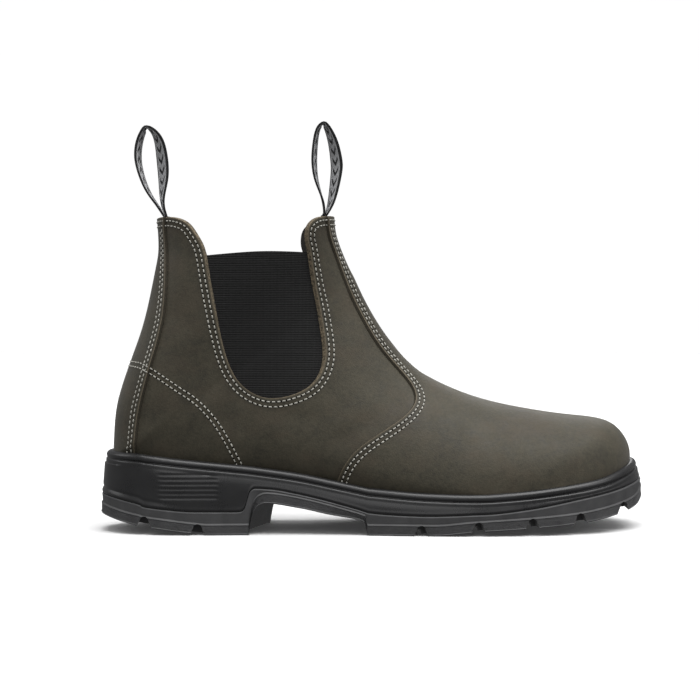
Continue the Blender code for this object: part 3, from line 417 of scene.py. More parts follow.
# The seam of the counter under the quarters, from the centre line at the back, in the same mm
COUNTER_SEAM = [
    (17.0, 92.2), (18.0, 92.0), (23.6, 91.5), (28.9, 89.1), (36.9, 84.0), (44.9, 78.6), (52.9, 73.2),
    (59.8, 66.8), (66.2, 58.7), (71.6, 49.5), (76.9, 39.3), (79.5, 33.5),
]
OVERLAY_SEAMS = ((VAMP_SEAM, 1), (BACK_SEAM, -1))  # the vamp lies ahead of its seam, the back stay behind

# One stitch from hole to hole: share of its length, of its width, and how far it lies above the skin
STITCH_SHAPE = (
    (0.0, 0.4, -0.25), (0.12, 0.82, 0.05), (0.35, 1.0, 0.24), (0.65, 1.0, 0.24), (0.88, 0.82, 0.05),
    (1.0, 0.4, -0.25),
)
STITCH_SIDES = 6
HOLE_SIDES = 8
HOLE_WIDE = 0.66  # share of the thread's width
HOLE_LONG = 0.90  # share of the gap between two stitches
# A hole is a flat disc of painted shade laid just on the skin.
HOLE_RISES = (-0.00012, 0.00005)  # from the skin, so that a hole shows as a flat dark spot

# The midsole's rim: outward from the upper's outline and down from the feather line, in mm
RIM_PROFILE = [
    (-0.60, 4.60), (-0.50, 1.60), (0.20, 0.42), (1.30, 0.10), (2.40, 0.00), (3.40, 0.28), (4.25, 0.82),
    (4.85, 1.55), (5.06, 2.35), (5.00, 3.05), (4.72, 3.60), (4.40, 3.88), (4.46, 4.10), (5.05, 4.30),
    (5.60, 4.52), (5.86, 4.80), (5.98, 5.15), (6.04, 5.60), (6.10, 6.60),
]
WALL_INNER = (-0.0050, -0.0031)  # the wall's inner rings, hidden under the upper
# Round the back of the heel, up to a zone and faded over a part of it, the rim below the bead is evened
# out towards one distance in mm, and the wall leans out straight
CALM_ZONE, CALM_FADE, CALM_SHARE, CALM_OUT = 0.16, 0.1, 0.6, 4.95
LEAN_ZONE, LEAN_FADE = 0.55, 0.35
WALL_TURN = 0.0030  # how soon below the rim the wall is upright
WALL_LIP = 0.00035  # how far its lower lip stands out
WALL_GROOVE = 0.00045  # depth of the line above the lip round the heel
WALL_FOOT = 0.0003  # how far its foot draws in at the join
PANEL_X, PANEL_Z = (0.0345, 0.0655), (0.0185, 0.0335)  # plain ribbed panel on the heel's side
PANEL_DEPTH = 0.00030
PANEL_SOFT = 0.0012
PANEL_RIB = 0.0025

# The outsole's open slots, the fine lines round its lugs and the flat band along the tread's edge
SLOT_WIDTH = 0.0088
SLOT_HEIGHT = 0.0056
SLOT_DEPTH = 0.0045
SLOT_FLARE = 0.0004
LUG_LINES = 9
LUG_LINE_DEPTH = 0.00022
TREAD_BAND = 0.0145
TREAD_RECESS = 0.0009

# Patterns of the thread, the elastic and the loops' tape
PLY_PITCH = 0.001904
CORD_SHARE = 0.8  # from one cord of the elastic to the next, as a share of its ribs' pitch
LOZENGE = 0.0075
TAPE_FLOAT = 0.0009
TAPE_WEFT = 0.0011
TAPE_DULL = 0.00018  # how much thinner the tape is at its very edges
TAIL_WIDTH = 0.98
SELVEDGE = 0.0016
CHEVRON = 0.0062
CHEVRON_SLANT = 0.9
SHAFT_MIDDLE = 0.006  # a place between the two loops, in the frame

# The studio: lights as name, power, size, place and aim
WHITE = (1, 1, 1, 1)
STUDIO_REACH = 8.9
SURROUND_SIDES = 48
SKY_STRENGTH = 3.05
SKY_TILT = (11.5, 8, 0)  # degrees
WORLD_STRENGTH = 0.20
SOFT_BOXES = (
    ("front_box", 3.1, 0.9, (-0.35, -1.35, 0.85), (0.07, 0, 0.09)),
    ("toe_box", 2.7, 0.7, (1.25, -0.55, 0.75), (0.1, 0, 0.06)),
    ("heel_box", 2.1, 0.7, (-1.1, 0.2, 0.8), (0.03, 0, 0.1)),
    ("rear_box", 5.0, 0.9, (0.3, 1.3, 0.9), (0.07, 0, 0.09)),
)
CAMERA_LENS = 87.43
CAMERA_AT = (0.00223, -0.94769, 0.107)
CAMERA_TURN = math.radians(4)  # from square to the boot's side
CAMERA_PITCH = math.atan(15 / 1700)  # downwards


def linear(code):
    """Linear RGB of an sRGB hex colour."""
    parts = [int(code[i : i + 2], 16) / 255 for i in (1, 3, 5)]
    return tuple(c / 12.92 if c <= 0.04045 else ((c + 0.055) / 1.055) ** 2.4 for c in parts)


def length_setting(name, description, default):
    """A length in metres that the sidebar shows in the scene's units."""
    return FloatProperty(
        name=name, description=description, default=default, min=0, subtype="DISTANCE", unit="LENGTH"
    )


def colour_setting(name, description, code):
    """A colour whose default is an sRGB hex value."""
    return FloatVectorProperty(
        name=name, description=description, subtype="COLOR", size=3, min=0, max=1, default=linear(code)
    )


class BootSizes(bpy.types.PropertyGroup):
    """Sizes of the stitching, the leather's grain and the elastic"""

    stitch_pitch: length_setting("Stitch pitch", "From one stitch to the next", 0.0028)
    stitch_length: length_setting("Stitch length", "Thread showing between two holes", 0.0021)
    thread_width: length_setting("Thread width", "Across one stitch", 0.00072)
    edge_slant: length_setting("Edge slant", "How wide the cut leather edge shows", 0.0003)
    mottle: length_setting("Mottle", "Size of the hide's cloudy patches", 0.022)
    nap: length_setting("Nap", "Size of the buffed grain", 0.0007)
    rib: length_setting("Elastic rib", "From one rib of the elastic to the next", 0.00095)


class BootColours(bpy.types.PropertyGroup):
    """Colours of the boot's finishes and of the studio's floor"""

    leather_light: colour_setting("Leather light", "Leather where the oil pulls away, and scuffs", "#544f42")
    leather_mid: colour_setting("Leather mid", "Most of the leather", "#4a463a")
    # leather_dark also colours the painted shade beside the seams, and darkened it is the painted shade at
    # the needle holes.
    leather_dark: colour_setting("Leather dark", "Leather where the oil lies", "#3d3a31")
    leather_warm: colour_setting("Leather warm", "Brown drifts in the leather", "#544a3d")
    raw_edge: colour_setting("Raw edge", "Cut edge of the quarters, and rubbed rims", "#9a8b74")
    # Darker than the quarters' raw edge: the oiled edge's own colour together with painted shade along the
    # vamp's and the back stay's edges.
    oiled_edge_and_shade: colour_setting("Raw edge oiled", "Cut edge of the vamp and the back stay", "#463f34")
    lining: colour_setting("Lining", "Cloth inside the quarters", "#3a3733")
    thread: colour_setting("Thread", "Stitches", "#d2d0c6")
    elastic: colour_setting("Elastic", "Gores", "#131313")
    tape_black: colour_setting("Tape black", "Outside, edges and marks of the loops' tape", "#151517")
    tape_grey: colour_setting("Tape grey", "Inner face of the loops' tape", "#f0f1f3")
    midsole: colour_setting("Midsole", "Moulded wall", "#2a2a2b")
    outsole: colour_setting("Outsole", "Lugged rubber", "#525253")
    insole: colour_setting("Insole", "Felt footbed", "#2c2c2e")
    floor: colour_setting("Floor", "Studio board", "#fbfbfb")


def ink(name, share=1.0):
    """A colour of the boot with its alpha, darkened or lightened by a share."""
    return (*(part * share for part in getattr(bpy.context.scene.boot_colours, name)), 1.0)


def sizes():
    """The sizes that the user has set."""
    return bpy.context.scene.boot_sizes


# Shapes


def place(points):
    """Points measured from the sole's back end, in the frame's place."""
    return np.asarray(points, float) - (HEEL_REST, 0, 0)


def crease(points):
    """How far the skin stands out or dips at points of the last, in metres."""
    x, y, z = np.moveaxis(points * 1000, -1, 0)
    total = np.zeros(x.shape)
    for x0, z0, x1, z1, deep, wide, side in CREASES:
        along_x, along_z = x1 - x0, z1 - z0
        length = math.hypot(along_x, along_z)
        share = ((x - x0) * along_x + (z - z0) * along_z) / length**2
        off = ((x - x0) * along_z - (z - z0) * along_x) / length
        off = off + 1.2 * np.sin(share * 4 + x0)
        fade = np.exp(-((np.clip(np.abs(share - 0.5) - 0.3, 0, None) / 0.28) ** 2))
        shown = 1.0 if side == 0 else np.clip(0.5 + side * y / 16, 0, 1)
        fold = np.exp(-((off / wide) ** 2)) - 0.45 * np.exp(-(((off - 1.6 * wide) / wide) ** 2))
        total -= deep * shown * fade * fold
    waves = 0.16 * np.sin(x / 23 + 1.7 * np.sin(z / 31)) * np.sin(z / 19 + 0.8)
    waves = waves + 0.06 * np.sin(x / 7 + z / 9)
    above_sole = np.clip((z - 32) / 25, 0, 1)
    return (total + waves * above_sole) / 1000


def skin(u, v, grow):
    """The boot's skin at a layer's height above the last, with the wearer's creases."""
    return last_points(u, v, grow + crease(last_points(u, v)))


def skin_columns():
    """Column places from the outer end over the crest to the inner end."""
    return np.linspace(0, 1, 2 * SKIN_COLUMNS + 1)


def skin_rows():
    """Row places spaced so that no step along the last is longer than SKIN_STEP."""
    fine = np.linspace(0, len(SECTIONS) - 1, 1200)
    lines = last_points(*np.meshgrid(fine, np.linspace(0.02, 0.98, 15), indexing="ij"))
    steps = np.linalg.norm(np.diff(lines, axis=0), axis=2).max(axis=1)
    walked = np.concatenate([[0], np.cumsum(steps)])
    return np.interp(np.linspace(0, walked[-1], int(walked[-1] / SKIN_STEP)), walked, fine)


def clearance_from(outline, points):
    """Distance of side view points to a closed outline, positive inside."""
    curve = np.asarray(outline)
    ends = np.roll(curve, -1, axis=0)
    flat = points[..., (0, 2)].reshape(-1, 2)
    best = np.full(len(flat), 1e9)
    inside = np.zeros(len(flat), bool)
    for a, b in zip(curve, ends):
        way = b - a
        if not way.any():
            continue
        share = np.clip(((flat - a) @ way) / (way @ way), 0, 1)
        best = np.minimum(best, np.hypot(*(flat - a - share[:, None] * way).T))
        crosses = (a[1] > flat[:, 1]) != (b[1] > flat[:, 1])
        if a[1] != b[1]:
            inside ^= crosses & (flat[:, 0] < (b[0] - a[0]) * (flat[:, 1] - a[1]) / (b[1] - a[1]) + a[0])
    return np.where(inside, best, -best).reshape(points.shape[:-1])


def crossings(keep, uv, level, triangles):
    """Where keep is 0 along those sides of the triangles that it changes sign on: the two points of each
    side, how far along it that is, and the (u, v) place."""
    pairs = np.concatenate([triangles[:, corners] for corners in ((0, 1), (1, 2), (2, 0))])
    pairs = np.unique(np.sort(pairs, axis=1), axis=0)
    crossed = pairs[(level[pairs[:, 0]] > 0) != (level[pairs[:, 1]] > 0)]
    ends = uv[crossed]
    wraps = np.abs(ends[:, 0, 1] - ends[:, 1, 1]) > 0.5
    for k in (0, 1):
        ends[:, k, 1] = np.where(wraps & (ends[:, k, 1] == 0.0), 1.0, ends[:, k, 1])
    inside_first = level[crossed[:, 0]] > 0
    low, high = np.where(inside_first, 1.0, 0.0), np.where(inside_first, 0.0, 1.0)
    level_low, level_high = level[crossed].min(axis=1), level[crossed].max(axis=1)
    for _ in range(3):
        share = low + (high - low) * -level_low / np.maximum(level_high - level_low, 1e-12)
        spot = ends[:, 0] + (ends[:, 1] - ends[:, 0]) * share[:, None]
        here = keep(last_points(spot[:, 0], spot[:, 1]))
        below = here < 0
        low, level_low = np.where(below, share, low), np.where(below, here, level_low)
        high, level_high = np.where(below, high, share), np.where(below, level_high, here)
    return crossed, share, spot


def trimmed_sheet(keep):
    """The (u, v) places and triangles of the part of the last where keep is positive. Its edge runs on
    keep = 0 exactly, and the edge's points are marked. Each point also gets its value of keep."""
    us, vs = skin_rows(), skin_columns()
    u, v = np.meshgrid(us, vs, indexing="ij")
    tall, wide = u.shape
    level = keep(last_points(u, v)).ravel()
    uv = np.stack([u.ravel(), v.ravel()], axis=1)
    # From the heel's corner on, the two ends of a row are one point of the back line
    on_back = us >= HEEL_CORNER
    welded = np.arange(len(uv)).reshape(tall, wide)
    welded[on_back, -1] = welded[on_back, 0]
    i, j = (g.ravel() for g in np.meshgrid(range(tall - 1), range(wide - 1), indexing="ij"))
    left = j < SKIN_COLUMNS
    a, b, c, d = welded[i, j], welded[i, j + 1], welded[i + 1, j + 1], welded[i + 1, j]
    triangles = np.concatenate([
        np.stack([a, b, np.where(left, c, d)], axis=1), np.stack([np.where(left, a, b), c, d], axis=1)
    ])
    back_line = set(welded[on_back, 0].tolist())
    triangles = triangles[(level[triangles] > 0).any(axis=1)]
    uv, level = list(map(tuple, uv)), list(level)
    on_edge = set()
    crossed, share, spot = crossings(keep, np.array(uv), np.array(level), triangles)
    # Grid points that lie close to the edge move onto it, so that no sliver is left
    moved, cut = {}, {}
    for (p, q), gap, place_at in zip(crossed.tolist(), share, map(tuple, spot)):
        cut[p, q] = place_at
        for near, reach in ((p, gap), (q, 1 - gap)):
            if reach < SNAP and reach < moved.get(near, (1.0, None))[0]:
                moved[near] = (reach, place_at)
    for near, (_, place_at) in moved.items():
        if near in back_line and min(place_at[1], 1 - place_at[1]) > 1e-6:
            continue
        uv[near], level[near] = place_at, 0.0
        on_edge.add(near)

    # The triangles on the edge are cut along it
    made = {}

    def split(p, q):
        """The point where the edge cuts the side between two points."""
        key = (min(p, q), max(p, q))
        if key not in made:
            made[key] = len(uv)
            uv.append(cut[key])
            level.append(0.0)
            on_edge.add(made[key])
        return made[key]

    faces = []
    for face in triangles.tolist():
        signs = [1 if level[p] > 0 else (-1 if level[p] < 0 else 0) for p in face]
        if min(signs) >= 0:
            faces.append(tuple(face))
            continue
        if max(signs) <= 0:
            continue
        loop = []
        for k in range(3):
            p, q = face[k], face[(k + 1) % 3]
            if signs[k] >= 0:
                loop.append(p)
            if signs[k] * signs[(k + 1) % 3] < 0:
                loop.append(split(p, q))
        if len(loop) == 3:
            faces.append(tuple(loop))
        elif len(loop) == 4:
            faces += [(loop[0], loop[1], loop[2]), (loop[0], loop[2], loop[3])]
    faces = [f for f in faces if len(set(f)) == 3]
    used = sorted({p for f in faces for p in f})
    number = {p: n for n, p in enumerate(used)}
    faces = [tuple(number[p] for p in f) for f in faces]
    places, levels = np.array([uv[p] for p in used]), np.array([level[p] for p in used])
    return places, faces, np.array([p in on_edge for p in used]), levels


def rim_of(faces):
    """The edges that only one triangle uses, in its direction."""
    seen = {}
    for face in faces:
        for k in range(3):
            p, q = face[k], face[(k + 1) % 3]
            if (q, p) in seen:
                del seen[q, p]
            else:
                seen[p, q] = True
    return list(seen)


def put(name, data):
    """An object of the scene that shows a mesh, a light or a camera."""
    obj = bpy.data.objects.new(name, data)
    bpy.context.scene.collection.objects.link(obj)
    return obj


def closed_mesh(name, points, faces):
    """A closed mesh in the frame whose faces all look outwards."""
    mesh = bpy.data.meshes.new(name)
    mesh.from_pydata([tuple(p) for p in place(points)], [], [tuple(map(int, f)) for f in faces])
    work = bmesh.new()
    work.from_mesh(mesh)
    bmesh.ops.recalc_face_normals(work, faces=work.faces)
    work.to_mesh(mesh)
    work.free()
    return mesh


def make_object(name, points, faces, materials, of_face=None, smooth_angle=40, uv=None):
    """A piece of the boot. of_face gives each face's material, and uv each point's place on the tape."""
    mesh = closed_mesh(name, points, faces)
    for surface in materials:
        mesh.materials.append(surface)
    if of_face is not None:
        mesh.polygons.foreach_set("material_index", np.asarray(of_face, np.int32))
    if uv is not None:
        layer = mesh.uv_layers.new(name="tape")
        corners = np.zeros(len(mesh.loops), np.int32)
        mesh.loops.foreach_get("vertex_index", corners)
        layer.data.foreach_set("uv", np.asarray(uv)[corners].ravel())
    mesh.shade_smooth()
    mesh.set_sharp_from_angle(angle=math.radians(smooth_angle))
    return put(name, mesh)


def attach(obj, slot_name, *nodes):
    """Ties a piece to the boot's body and hides the solids that it replaces. Its slot_name is not used."""
    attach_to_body(obj, "root")
    if nodes:
        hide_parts(*nodes)
    return obj


def leather_layer(name, keep, outer, inner, finishes, slant):
    """A closed sheet of leather between two heights above the last, with a slanted cut edge.
    finishes are those of its face, its cut edge and its back."""
    places, faces, on_edge, level = trimmed_sheet(keep)
    top = skin(places[:, 0], places[:, 1], outer)
    back = skin(places[:, 0], places[:, 1], inner)
    count = len(top)
    rim = rim_of(faces)
    flat = np.array(faces)
    face_normals = np.cross(top[flat[:, 1]] - top[flat[:, 0]], top[flat[:, 2]] - top[flat[:, 0]])
    normals = np.zeros_like(top)
    for k in range(3):
        np.add.at(normals, flat[:, k], face_normals)
    normals /= np.maximum(np.linalg.norm(normals, axis=1, keepdims=True), 1e-12)
    away = np.zeros_like(top)
    for p, q in rim:
        out = np.cross(top[q] - top[p], normals[p])
        out /= max(np.linalg.norm(out), 1e-12)
        away[p] += out
        away[q] += out
    away /= np.maximum(np.linalg.norm(away, axis=1, keepdims=True), 1e-12)
    reach = away * slant * on_edge[:, None]
    middle = top + (back - top) * 0.32 + reach * 0.62
    rim_points = sorted({p for edge in rim for p in edge})
    extra = {p: 2 * count + n for n, p in enumerate(rim_points)}
    back[rim_points] = (back + reach)[rim_points]
    points = np.concatenate([top, back, middle[rim_points]])
    all_faces = [*faces, *((c + count, b + count, a + count) for a, b, c in faces)]
    of_face = [0] * len(faces) + [2] * len(faces)
    for p, q in rim:
        all_faces += [(q, p, extra[p], extra[q]), (extra[q], extra[p], p + count, q + count)]
        of_face += [1, 1] if (on_edge[p] and on_edge[q]) else [2, 2]
    obj = make_object(name, points, all_faces, finishes, of_face, 50)
    near = obj.data.attributes.new("from_edge", "FLOAT", "POINT")
    level_of = np.concatenate([level, level, np.zeros(len(rim_points))])
    near.data.foreach_set("value", level_of.astype(np.float32))
    return obj


def opening():
    """The closed outline of what lies above the collar and in the gores' openings."""
    high = 2 * BOOT_HEIGHT
    curve = smooth_outline(REAR_EAR + GORE + FRONT_EAR, 8)
    ends = [(SOLE_LENGTH, curve[-1][1]), (SOLE_LENGTH, high), (-HEEL_LENGTH, high)]
    return [*map(tuple, curve), *ends, (-HEEL_LENGTH, curve[0][1])]


def side_region(table, toward):
    """The closed outline of everything ahead of a side view seam, or behind it."""
    curve = smooth_outline(table, 6)
    far = 2 * SOLE_LENGTH if toward > 0 else -HEEL_LENGTH
    return [*map(tuple, curve), (far, curve[-1][1]), (far, curve[0][1])]


def keep_upper(points):
    """Positive on the quarters."""
    return -clearance_from(opening(), points)


def keep_overlay(table, toward):
    """A function that is positive on the part of the quarters ahead of a seam, or behind it."""
    region = side_region(table, toward)
    return lambda points: np.minimum(keep_upper(points), clearance_from(region, points))


def keep_gore(side):
    """A function that is positive on one gore, which reaches under the leather by its margin."""
    around = grown(smooth_outline(GORE, 6), -GORE_MARGIN)
    top = smooth_outline(GORE_TOP, 6)
    roof = [tuple(p) for p in top[::-1] if around[0][0] < p[0] < around[-1][0]]
    left_z = np.interp(around[0][0], top[:, 0], top[:, 1])
    right_z = np.interp(around[-1][0], top[:, 0], top[:, 1])
    flanks = [tuple(p) for p in around if p[1] < min(left_z, right_z) - CLEARANCE]
    outline = [(around[0][0], left_z), *flanks, (around[-1][0], right_z), *roof]
    return lambda points: np.minimum(clearance_from(outline, points), side * points[..., 1])


# Stitching


def skin_tree():
    """A search tree over the whole skin, with no edges or openings."""
    grid = place(skin(*np.meshgrid(skin_rows(), skin_columns(), indexing="ij"), 0.0))
    tall, wide = grid.shape[:2]
    corners = [i * wide + j for i in range(tall - 1) for j in range(wide - 1)]
    faces = [(a, a + 1, a + wide + 1, a + wide) for a in corners]
    return BVHTree.FromPolygons([Vector(p) for p in grid.reshape(-1, 3)], faces)


def draped(curve, side, tree, to_back=False, to_front=False):
    """A side view curve laid on the skin of one side, and on to the centre line where it is asked to:
    points and normals in the frame."""
    found = []
    for x, z in curve:
        start = Vector((x - HEEL_REST, side * 0.2, z))
        spot, normal, _, _ = tree.ray_cast(start, Vector((0, -side, 0)))
        if spot is not None and spot.y * side > 0.0:
            found.append((spot, normal if normal.y * side > 0 else -normal))
    for wanted, way in ((to_back, -1), (to_front, 1)):
        if wanted:
            last = found[0][0] if way < 0 else found[-1][0]
            joined = []
            for y in np.linspace(last.y, 0.0, 9)[1:]:
                spot, normal, _, _ = tree.ray_cast(Vector((way * 0.5, y, last.z)), Vector((-way, 0, 0)))
                if spot is None:
                    raise RuntimeError(f"no skin at y {y:.4f}, z {last.z:.4f} for a row of stitches")
                joined.append((spot, normal if normal.x * way > 0 else -normal))
            found = joined[::-1] + found if way < 0 else found + joined
    return found


def lifted(row):
    """A row on the quarters raised onto the vamp or the back stay where they cover it."""
    spots = np.array([tuple(p) for p, _ in row]) + (HEEL_REST, 0, 0)
    over = np.maximum(*(clearance_from(side_region(*seam), spots) for seam in OVERLAY_SEAMS))
    rise = (CLEARANCE + OVERLAY) * np.clip(over / 0.0006 + 0.5, 0, 1)
    return [(p + n * float(r), n) for (p, n), r in zip(row, rise)]


def shifted_row(line, distance, tree):
    """A line on the skin moved sideways over the skin by a distance, to the left of its run."""
    row = []
    for k, (spot, normal) in enumerate(line):
        before, after = line[max(k - 1, 0)][0], line[min(k + 1, len(line) - 1)][0]
        way = (after - before).normalized()
        aim = spot + normal.cross(way).normalized() * distance
        hit, hit_normal, _, _ = tree.find_nearest(aim)
        if hit_normal.dot(normal) < 0:
            hit_normal = -hit_normal
        row.append((hit, hit_normal))
    return row


def row_reader(line):
    """The length of a line of (point, normal) on the skin, and a function that gives the places, the
    sideways directions and the normals at distances along it."""
    table = np.array([tuple(p) for p, _ in line])
    normals = np.array([tuple(n) for _, n in line])
    steps = np.concatenate([[0], np.cumsum(np.linalg.norm(np.diff(table, axis=0), axis=1))])

    def read(values, at):
        """A column of the line's values at distances along it."""
        return np.stack([np.interp(at, steps, values[:, k]) for k in range(3)], axis=-1)

    def frames(at):
        """Place, sideways direction and normal at distances along the line."""
        way = read(table, at + 2e-4) - read(table, at - 2e-4)
        way /= np.maximum(np.linalg.norm(way, axis=-1, keepdims=True), 1e-12)
        normal = read(normals, at)
        normal /= np.linalg.norm(normal, axis=-1, keepdims=True)
        return read(table, at), np.cross(normal, way), normal

    return steps[-1], frames


def tube_faces(count, rings, sides):
    """Faces of a number of closed tubes, each of so many rings with so many sides."""
    one = []
    for start in range(0, (rings - 1) * sides, sides):
        for k in range(sides):
            after = (k + 1) % sides
            one.append((start + k, start + after, start + sides + after, start + sides + k))
    one += [tuple(range(sides - 1, -1, -1)), tuple(range(sides * (rings - 1), sides * rings))]
    return [tuple(sides * rings * s + p for p in face) for s in range(count) for face in one]


def stitch_row(line, pitch, length, width, start):
    """Points and faces of the stitches along a line of (point, normal) on the skin."""
    total, frames = row_reader(line)
    starts = np.arange(pitch * start, total - length, pitch)[:, None]
    shape = np.array(STITCH_SHAPE)
    centre, sideways, normal = frames(starts + length * shape[:, 0])
    centre = centre + normal * width * shape[:, 2, None]
    radius = width / 2 * shape[:, 1, None, None]
    turn = np.arange(STITCH_SIDES) * math.tau / STITCH_SIDES
    rings = centre[:, :, None] + radius * (
        sideways[:, :, None] * np.cos(turn)[:, None] + 0.85 * normal[:, :, None] * np.sin(turn)[:, None]
    )
    return rings.reshape(-1, 3), tube_faces(len(starts), len(shape), STITCH_SIDES)


def hole_row(line, pitch, length, width, start):
    """Points and faces of the flat dark discs of painted shade at the needle holes between the stitches of
    the same line.
    """
    total, frames = row_reader(line)
    middles = np.arange(pitch * start, total - length, pitch) - (pitch - length) / 2
    centre, sideways, normal = frames(middles)
    ahead = np.cross(sideways, normal)
    turn = (np.arange(HOLE_SIDES) + 0.5) * math.tau / HOLE_SIDES
    across, along_it = width * HOLE_WIDE * np.cos(turn), (pitch - length) * HOLE_LONG * np.sin(turn)
    rim = centre[:, None] + sideways[:, None] * across[:, None] + ahead[:, None] * along_it[:, None]
    rings = np.stack([rim + normal[:, None] * rise for rise in HOLE_RISES], axis=1)
    return rings.reshape(-1, 3), tube_faces(len(middles), len(HOLE_RISES), HOLE_SIDES)


def stitching(name, rows, finishes):
    """One piece of thread from several rows, with discs of painted shade at the holes that it passes through.
    """
    size = sizes()
    points, faces, of_face = [], [], []
    for number, row in enumerate(rows):
        start = 0.4 + 0.37 * (number % 2)
        for slot, maker in enumerate((stitch_row, hole_row)):
            made, made_faces = maker(row, size.stitch_pitch, size.stitch_length, size.thread_width, start)
            faces += [tuple(len(points) + p for p in f) for f in made_faces]
            of_face += [slot] * len(made_faces)
            points += list(made)
    obj = make_object(name, np.array(points) + (HEEL_REST, 0, 0), faces, finishes, of_face, 60)
    return attach(obj, "leather")


# The sole


def fine_zones():
    """Zones of the stations along the body, packed closely where the heel's breast turns."""
    return np.concatenate([
        np.arange(HEEL_ROUND_ZONE, 0.93, 0.0165), np.arange(0.93, 0.98, 0.005),
        np.arange(0.98, 1.02, 0.0016), np.arange(1.02, 1.10, 0.0045), np.arange(1.10, 1.92, 0.022),
        np.arange(1.92, 2.02, 0.004), np.arange(2.02, 2.42, 0.0095),
    ])


def fine_loop():
    """The outline as one closed loop from the heel's back round the outer side, with its zones."""
    rows = np.linspace(0, len(OUTLINE) - 1, 60 * (len(OUTLINE) - 1) + 1)
    dense_x, dense_outer, _, dense_inner = outline_at(rows)
    heel_x, heel_outer, _, heel_inner = outline_at(np.linspace(0, HEEL_ROUND_ROW, HEEL_POINTS)[:-1])
    zones = fine_zones()
    body_x = along(zones)
    breast = np.exp(-(((body_x - HEEL_LENGTH) / (0.6 * HEEL_LENGTH)) ** 2))
    inner_x = body_x + BREAST_SLANT * breast
    sides = []
    for xs, heel_y, dense, way in (
        (body_x, heel_outer, dense_outer, -1), (inner_x, heel_inner, dense_inner, 1)
    ):
        ys = np.interp(xs, dense_x, dense)
        sides.append(np.stack([np.concatenate([heel_x, xs]), way * np.concatenate([heel_y, ys])], axis=1))
    outer, inner = sides
    toe = dict(zip(SECTION_COLUMNS, SECTIONS[1]))
    tip_x, swing = toe["crest_x"] * SOLE_LENGTH, toe["swing"] * BALL_WIDTH
    start_x = outline_at(len(OUTLINE) - 1.0)[0]
    half_outer, half_inner = OUTLINE[-1][1] * BALL_WIDTH + swing, OUTLINE[-1][2] * BALL_WIDTH - swing
    angles = np.linspace(0, math.pi / 2, TOE_POINTS)
    power = 2 / toe["crown"]
    toe_x = start_x + (tip_x - start_x) * np.sin(angles) ** power
    outer_toe = np.stack([toe_x, swing - half_outer * np.cos(angles) ** power], axis=1)
    inner_toe = np.stack([toe_x, swing + half_inner * np.cos(angles) ** power], axis=1)
    loop = np.concatenate([outer, outer_toe, inner_toe[-2::-1], inner[:0:-1]])
    toe_zones = np.full(len(toe_x), np.nan)
    body_zones = np.concatenate([zone_at(heel_x), zones])
    loop_zones = np.concatenate([body_zones, toe_zones, toe_zones[-2::-1], body_zones[:0:-1]])
    normals = outward(loop)
    for _ in range(6):
        normals = normals + 0.5 * (np.roll(normals, 1, axis=0) + np.roll(normals, -1, axis=0))
        normals /= np.linalg.norm(normals, axis=1, keepdims=True)
    edge_zones = zone_at(loop[:, 0] + normals[:, 0] * SOLE_OUT)
    at_ends = np.isnan(loop_zones) | (loop_zones < HEEL_ROUND_ZONE)
    return loop, np.where(at_ends, edge_zones, loop_zones), normals


def ringed(name, rings, finishes):
    """A closed solid from rings of (outward distances, heights) round the sole, top to bottom."""
    loop, _, normals = fine_loop()
    count = len(loop)
    points = []
    for distance, heights in rings:
        flat = loop + normals * np.reshape(np.broadcast_to(distance, count), (-1, 1))
        points += [(x, y, z) for (x, y), z in zip(flat, np.broadcast_to(heights, count))]
    faces = []
    for ring in range(len(rings) - 1):
        for i in range(count):
            a, b = ring * count + i, ring * count + (i + 1) % count
            faces.append((a, b, b + count, a + count))
    # Each end is closed by bands from side to side
    for start in (0, (len(rings) - 1) * count):
        for i in range(count // 2):
            band = dict.fromkeys(start + k % count for k in (i, i + 1, count - 1 - i, count - i))
            if len(band) > 2:
                faces.append(tuple(band))
    return make_object(name, points, faces, finishes, None, 38)


def cut_away(obj, points, faces):
    """Cuts a closed form out of a piece."""
    mesh = closed_mesh("cutter", points, faces)
    cutter = put("cutter", mesh)
    modifier = obj.modifiers.new("cut", "BOOLEAN")
    modifier.operation = "DIFFERENCE"
    modifier.solver = "EXACT"
    modifier.object = cutter
    cut = obj.evaluated_get(bpy.context.evaluated_depsgraph_get())
    old, result = obj.data, bpy.data.meshes.new_from_object(cut)
    obj.modifiers.clear()
    obj.data = result
    bpy.data.meshes.remove(old)
    bpy.data.objects.remove(cutter)
    bpy.data.meshes.remove(mesh)


def slot_form(x, y_from, y_to, width, top, bottom, steps=12):
    """A slot along Y with a round narrower top, open below."""
    radius = width * NOTCH_TAPER / 2
    arc = [math.pi * i / steps for i in range(steps + 1)]
    outline = [(x + radius * math.cos(a), top - radius + radius * math.sin(a)) for a in arc]
    outline += [(x - width / 2 - SLOT_FLARE, bottom), (x + width / 2 + SLOT_FLARE, bottom)]
    count = len(outline)
    points = [(px, y_from, pz) for px, pz in outline] + [(px, y_to, pz) for px, pz in outline]
    faces = [tuple(range(count)), tuple(range(count, 2 * count))]
    faces += [(i, (i + 1) % count, count + (i + 1) % count, count + i) for i in range(count)]
    return points, faces


# Finishes


def set_sockets(tree, node, sockets):
    """Sets a node's sockets, and links those that are given another node's output."""
    for socket, source in sockets.items():
        if isinstance(source, bpy.types.NodeSocket):
            tree.links.new(source, node.inputs[socket])
        else:
            node.inputs[socket].default_value = source


def add(tree, kind, sockets=None, out=0, **settings):
    """Adds a shader node with its settings, sets or links its sockets, and gives one of its outputs."""
    node = tree.nodes.new("ShaderNode" + kind)
    for key, value in settings.items():
        setattr(node, key, value)
    set_sockets(tree, node, sockets or {})
    return node.outputs[out]


def finish(name, sockets_of, *choices):
    """The material of that name, made at its first use. sockets_of adds its nodes and gives what the
    shader's sockets are set or linked to."""
    made = bpy.data.materials.get(name)
    if made is None:
        made = bpy.data.materials.new(name)
        made.use_nodes = True
        tree = made.node_tree
        set_sockets(tree, tree.nodes["Principled BSDF"], sockets_of(tree, *choices))
    return made


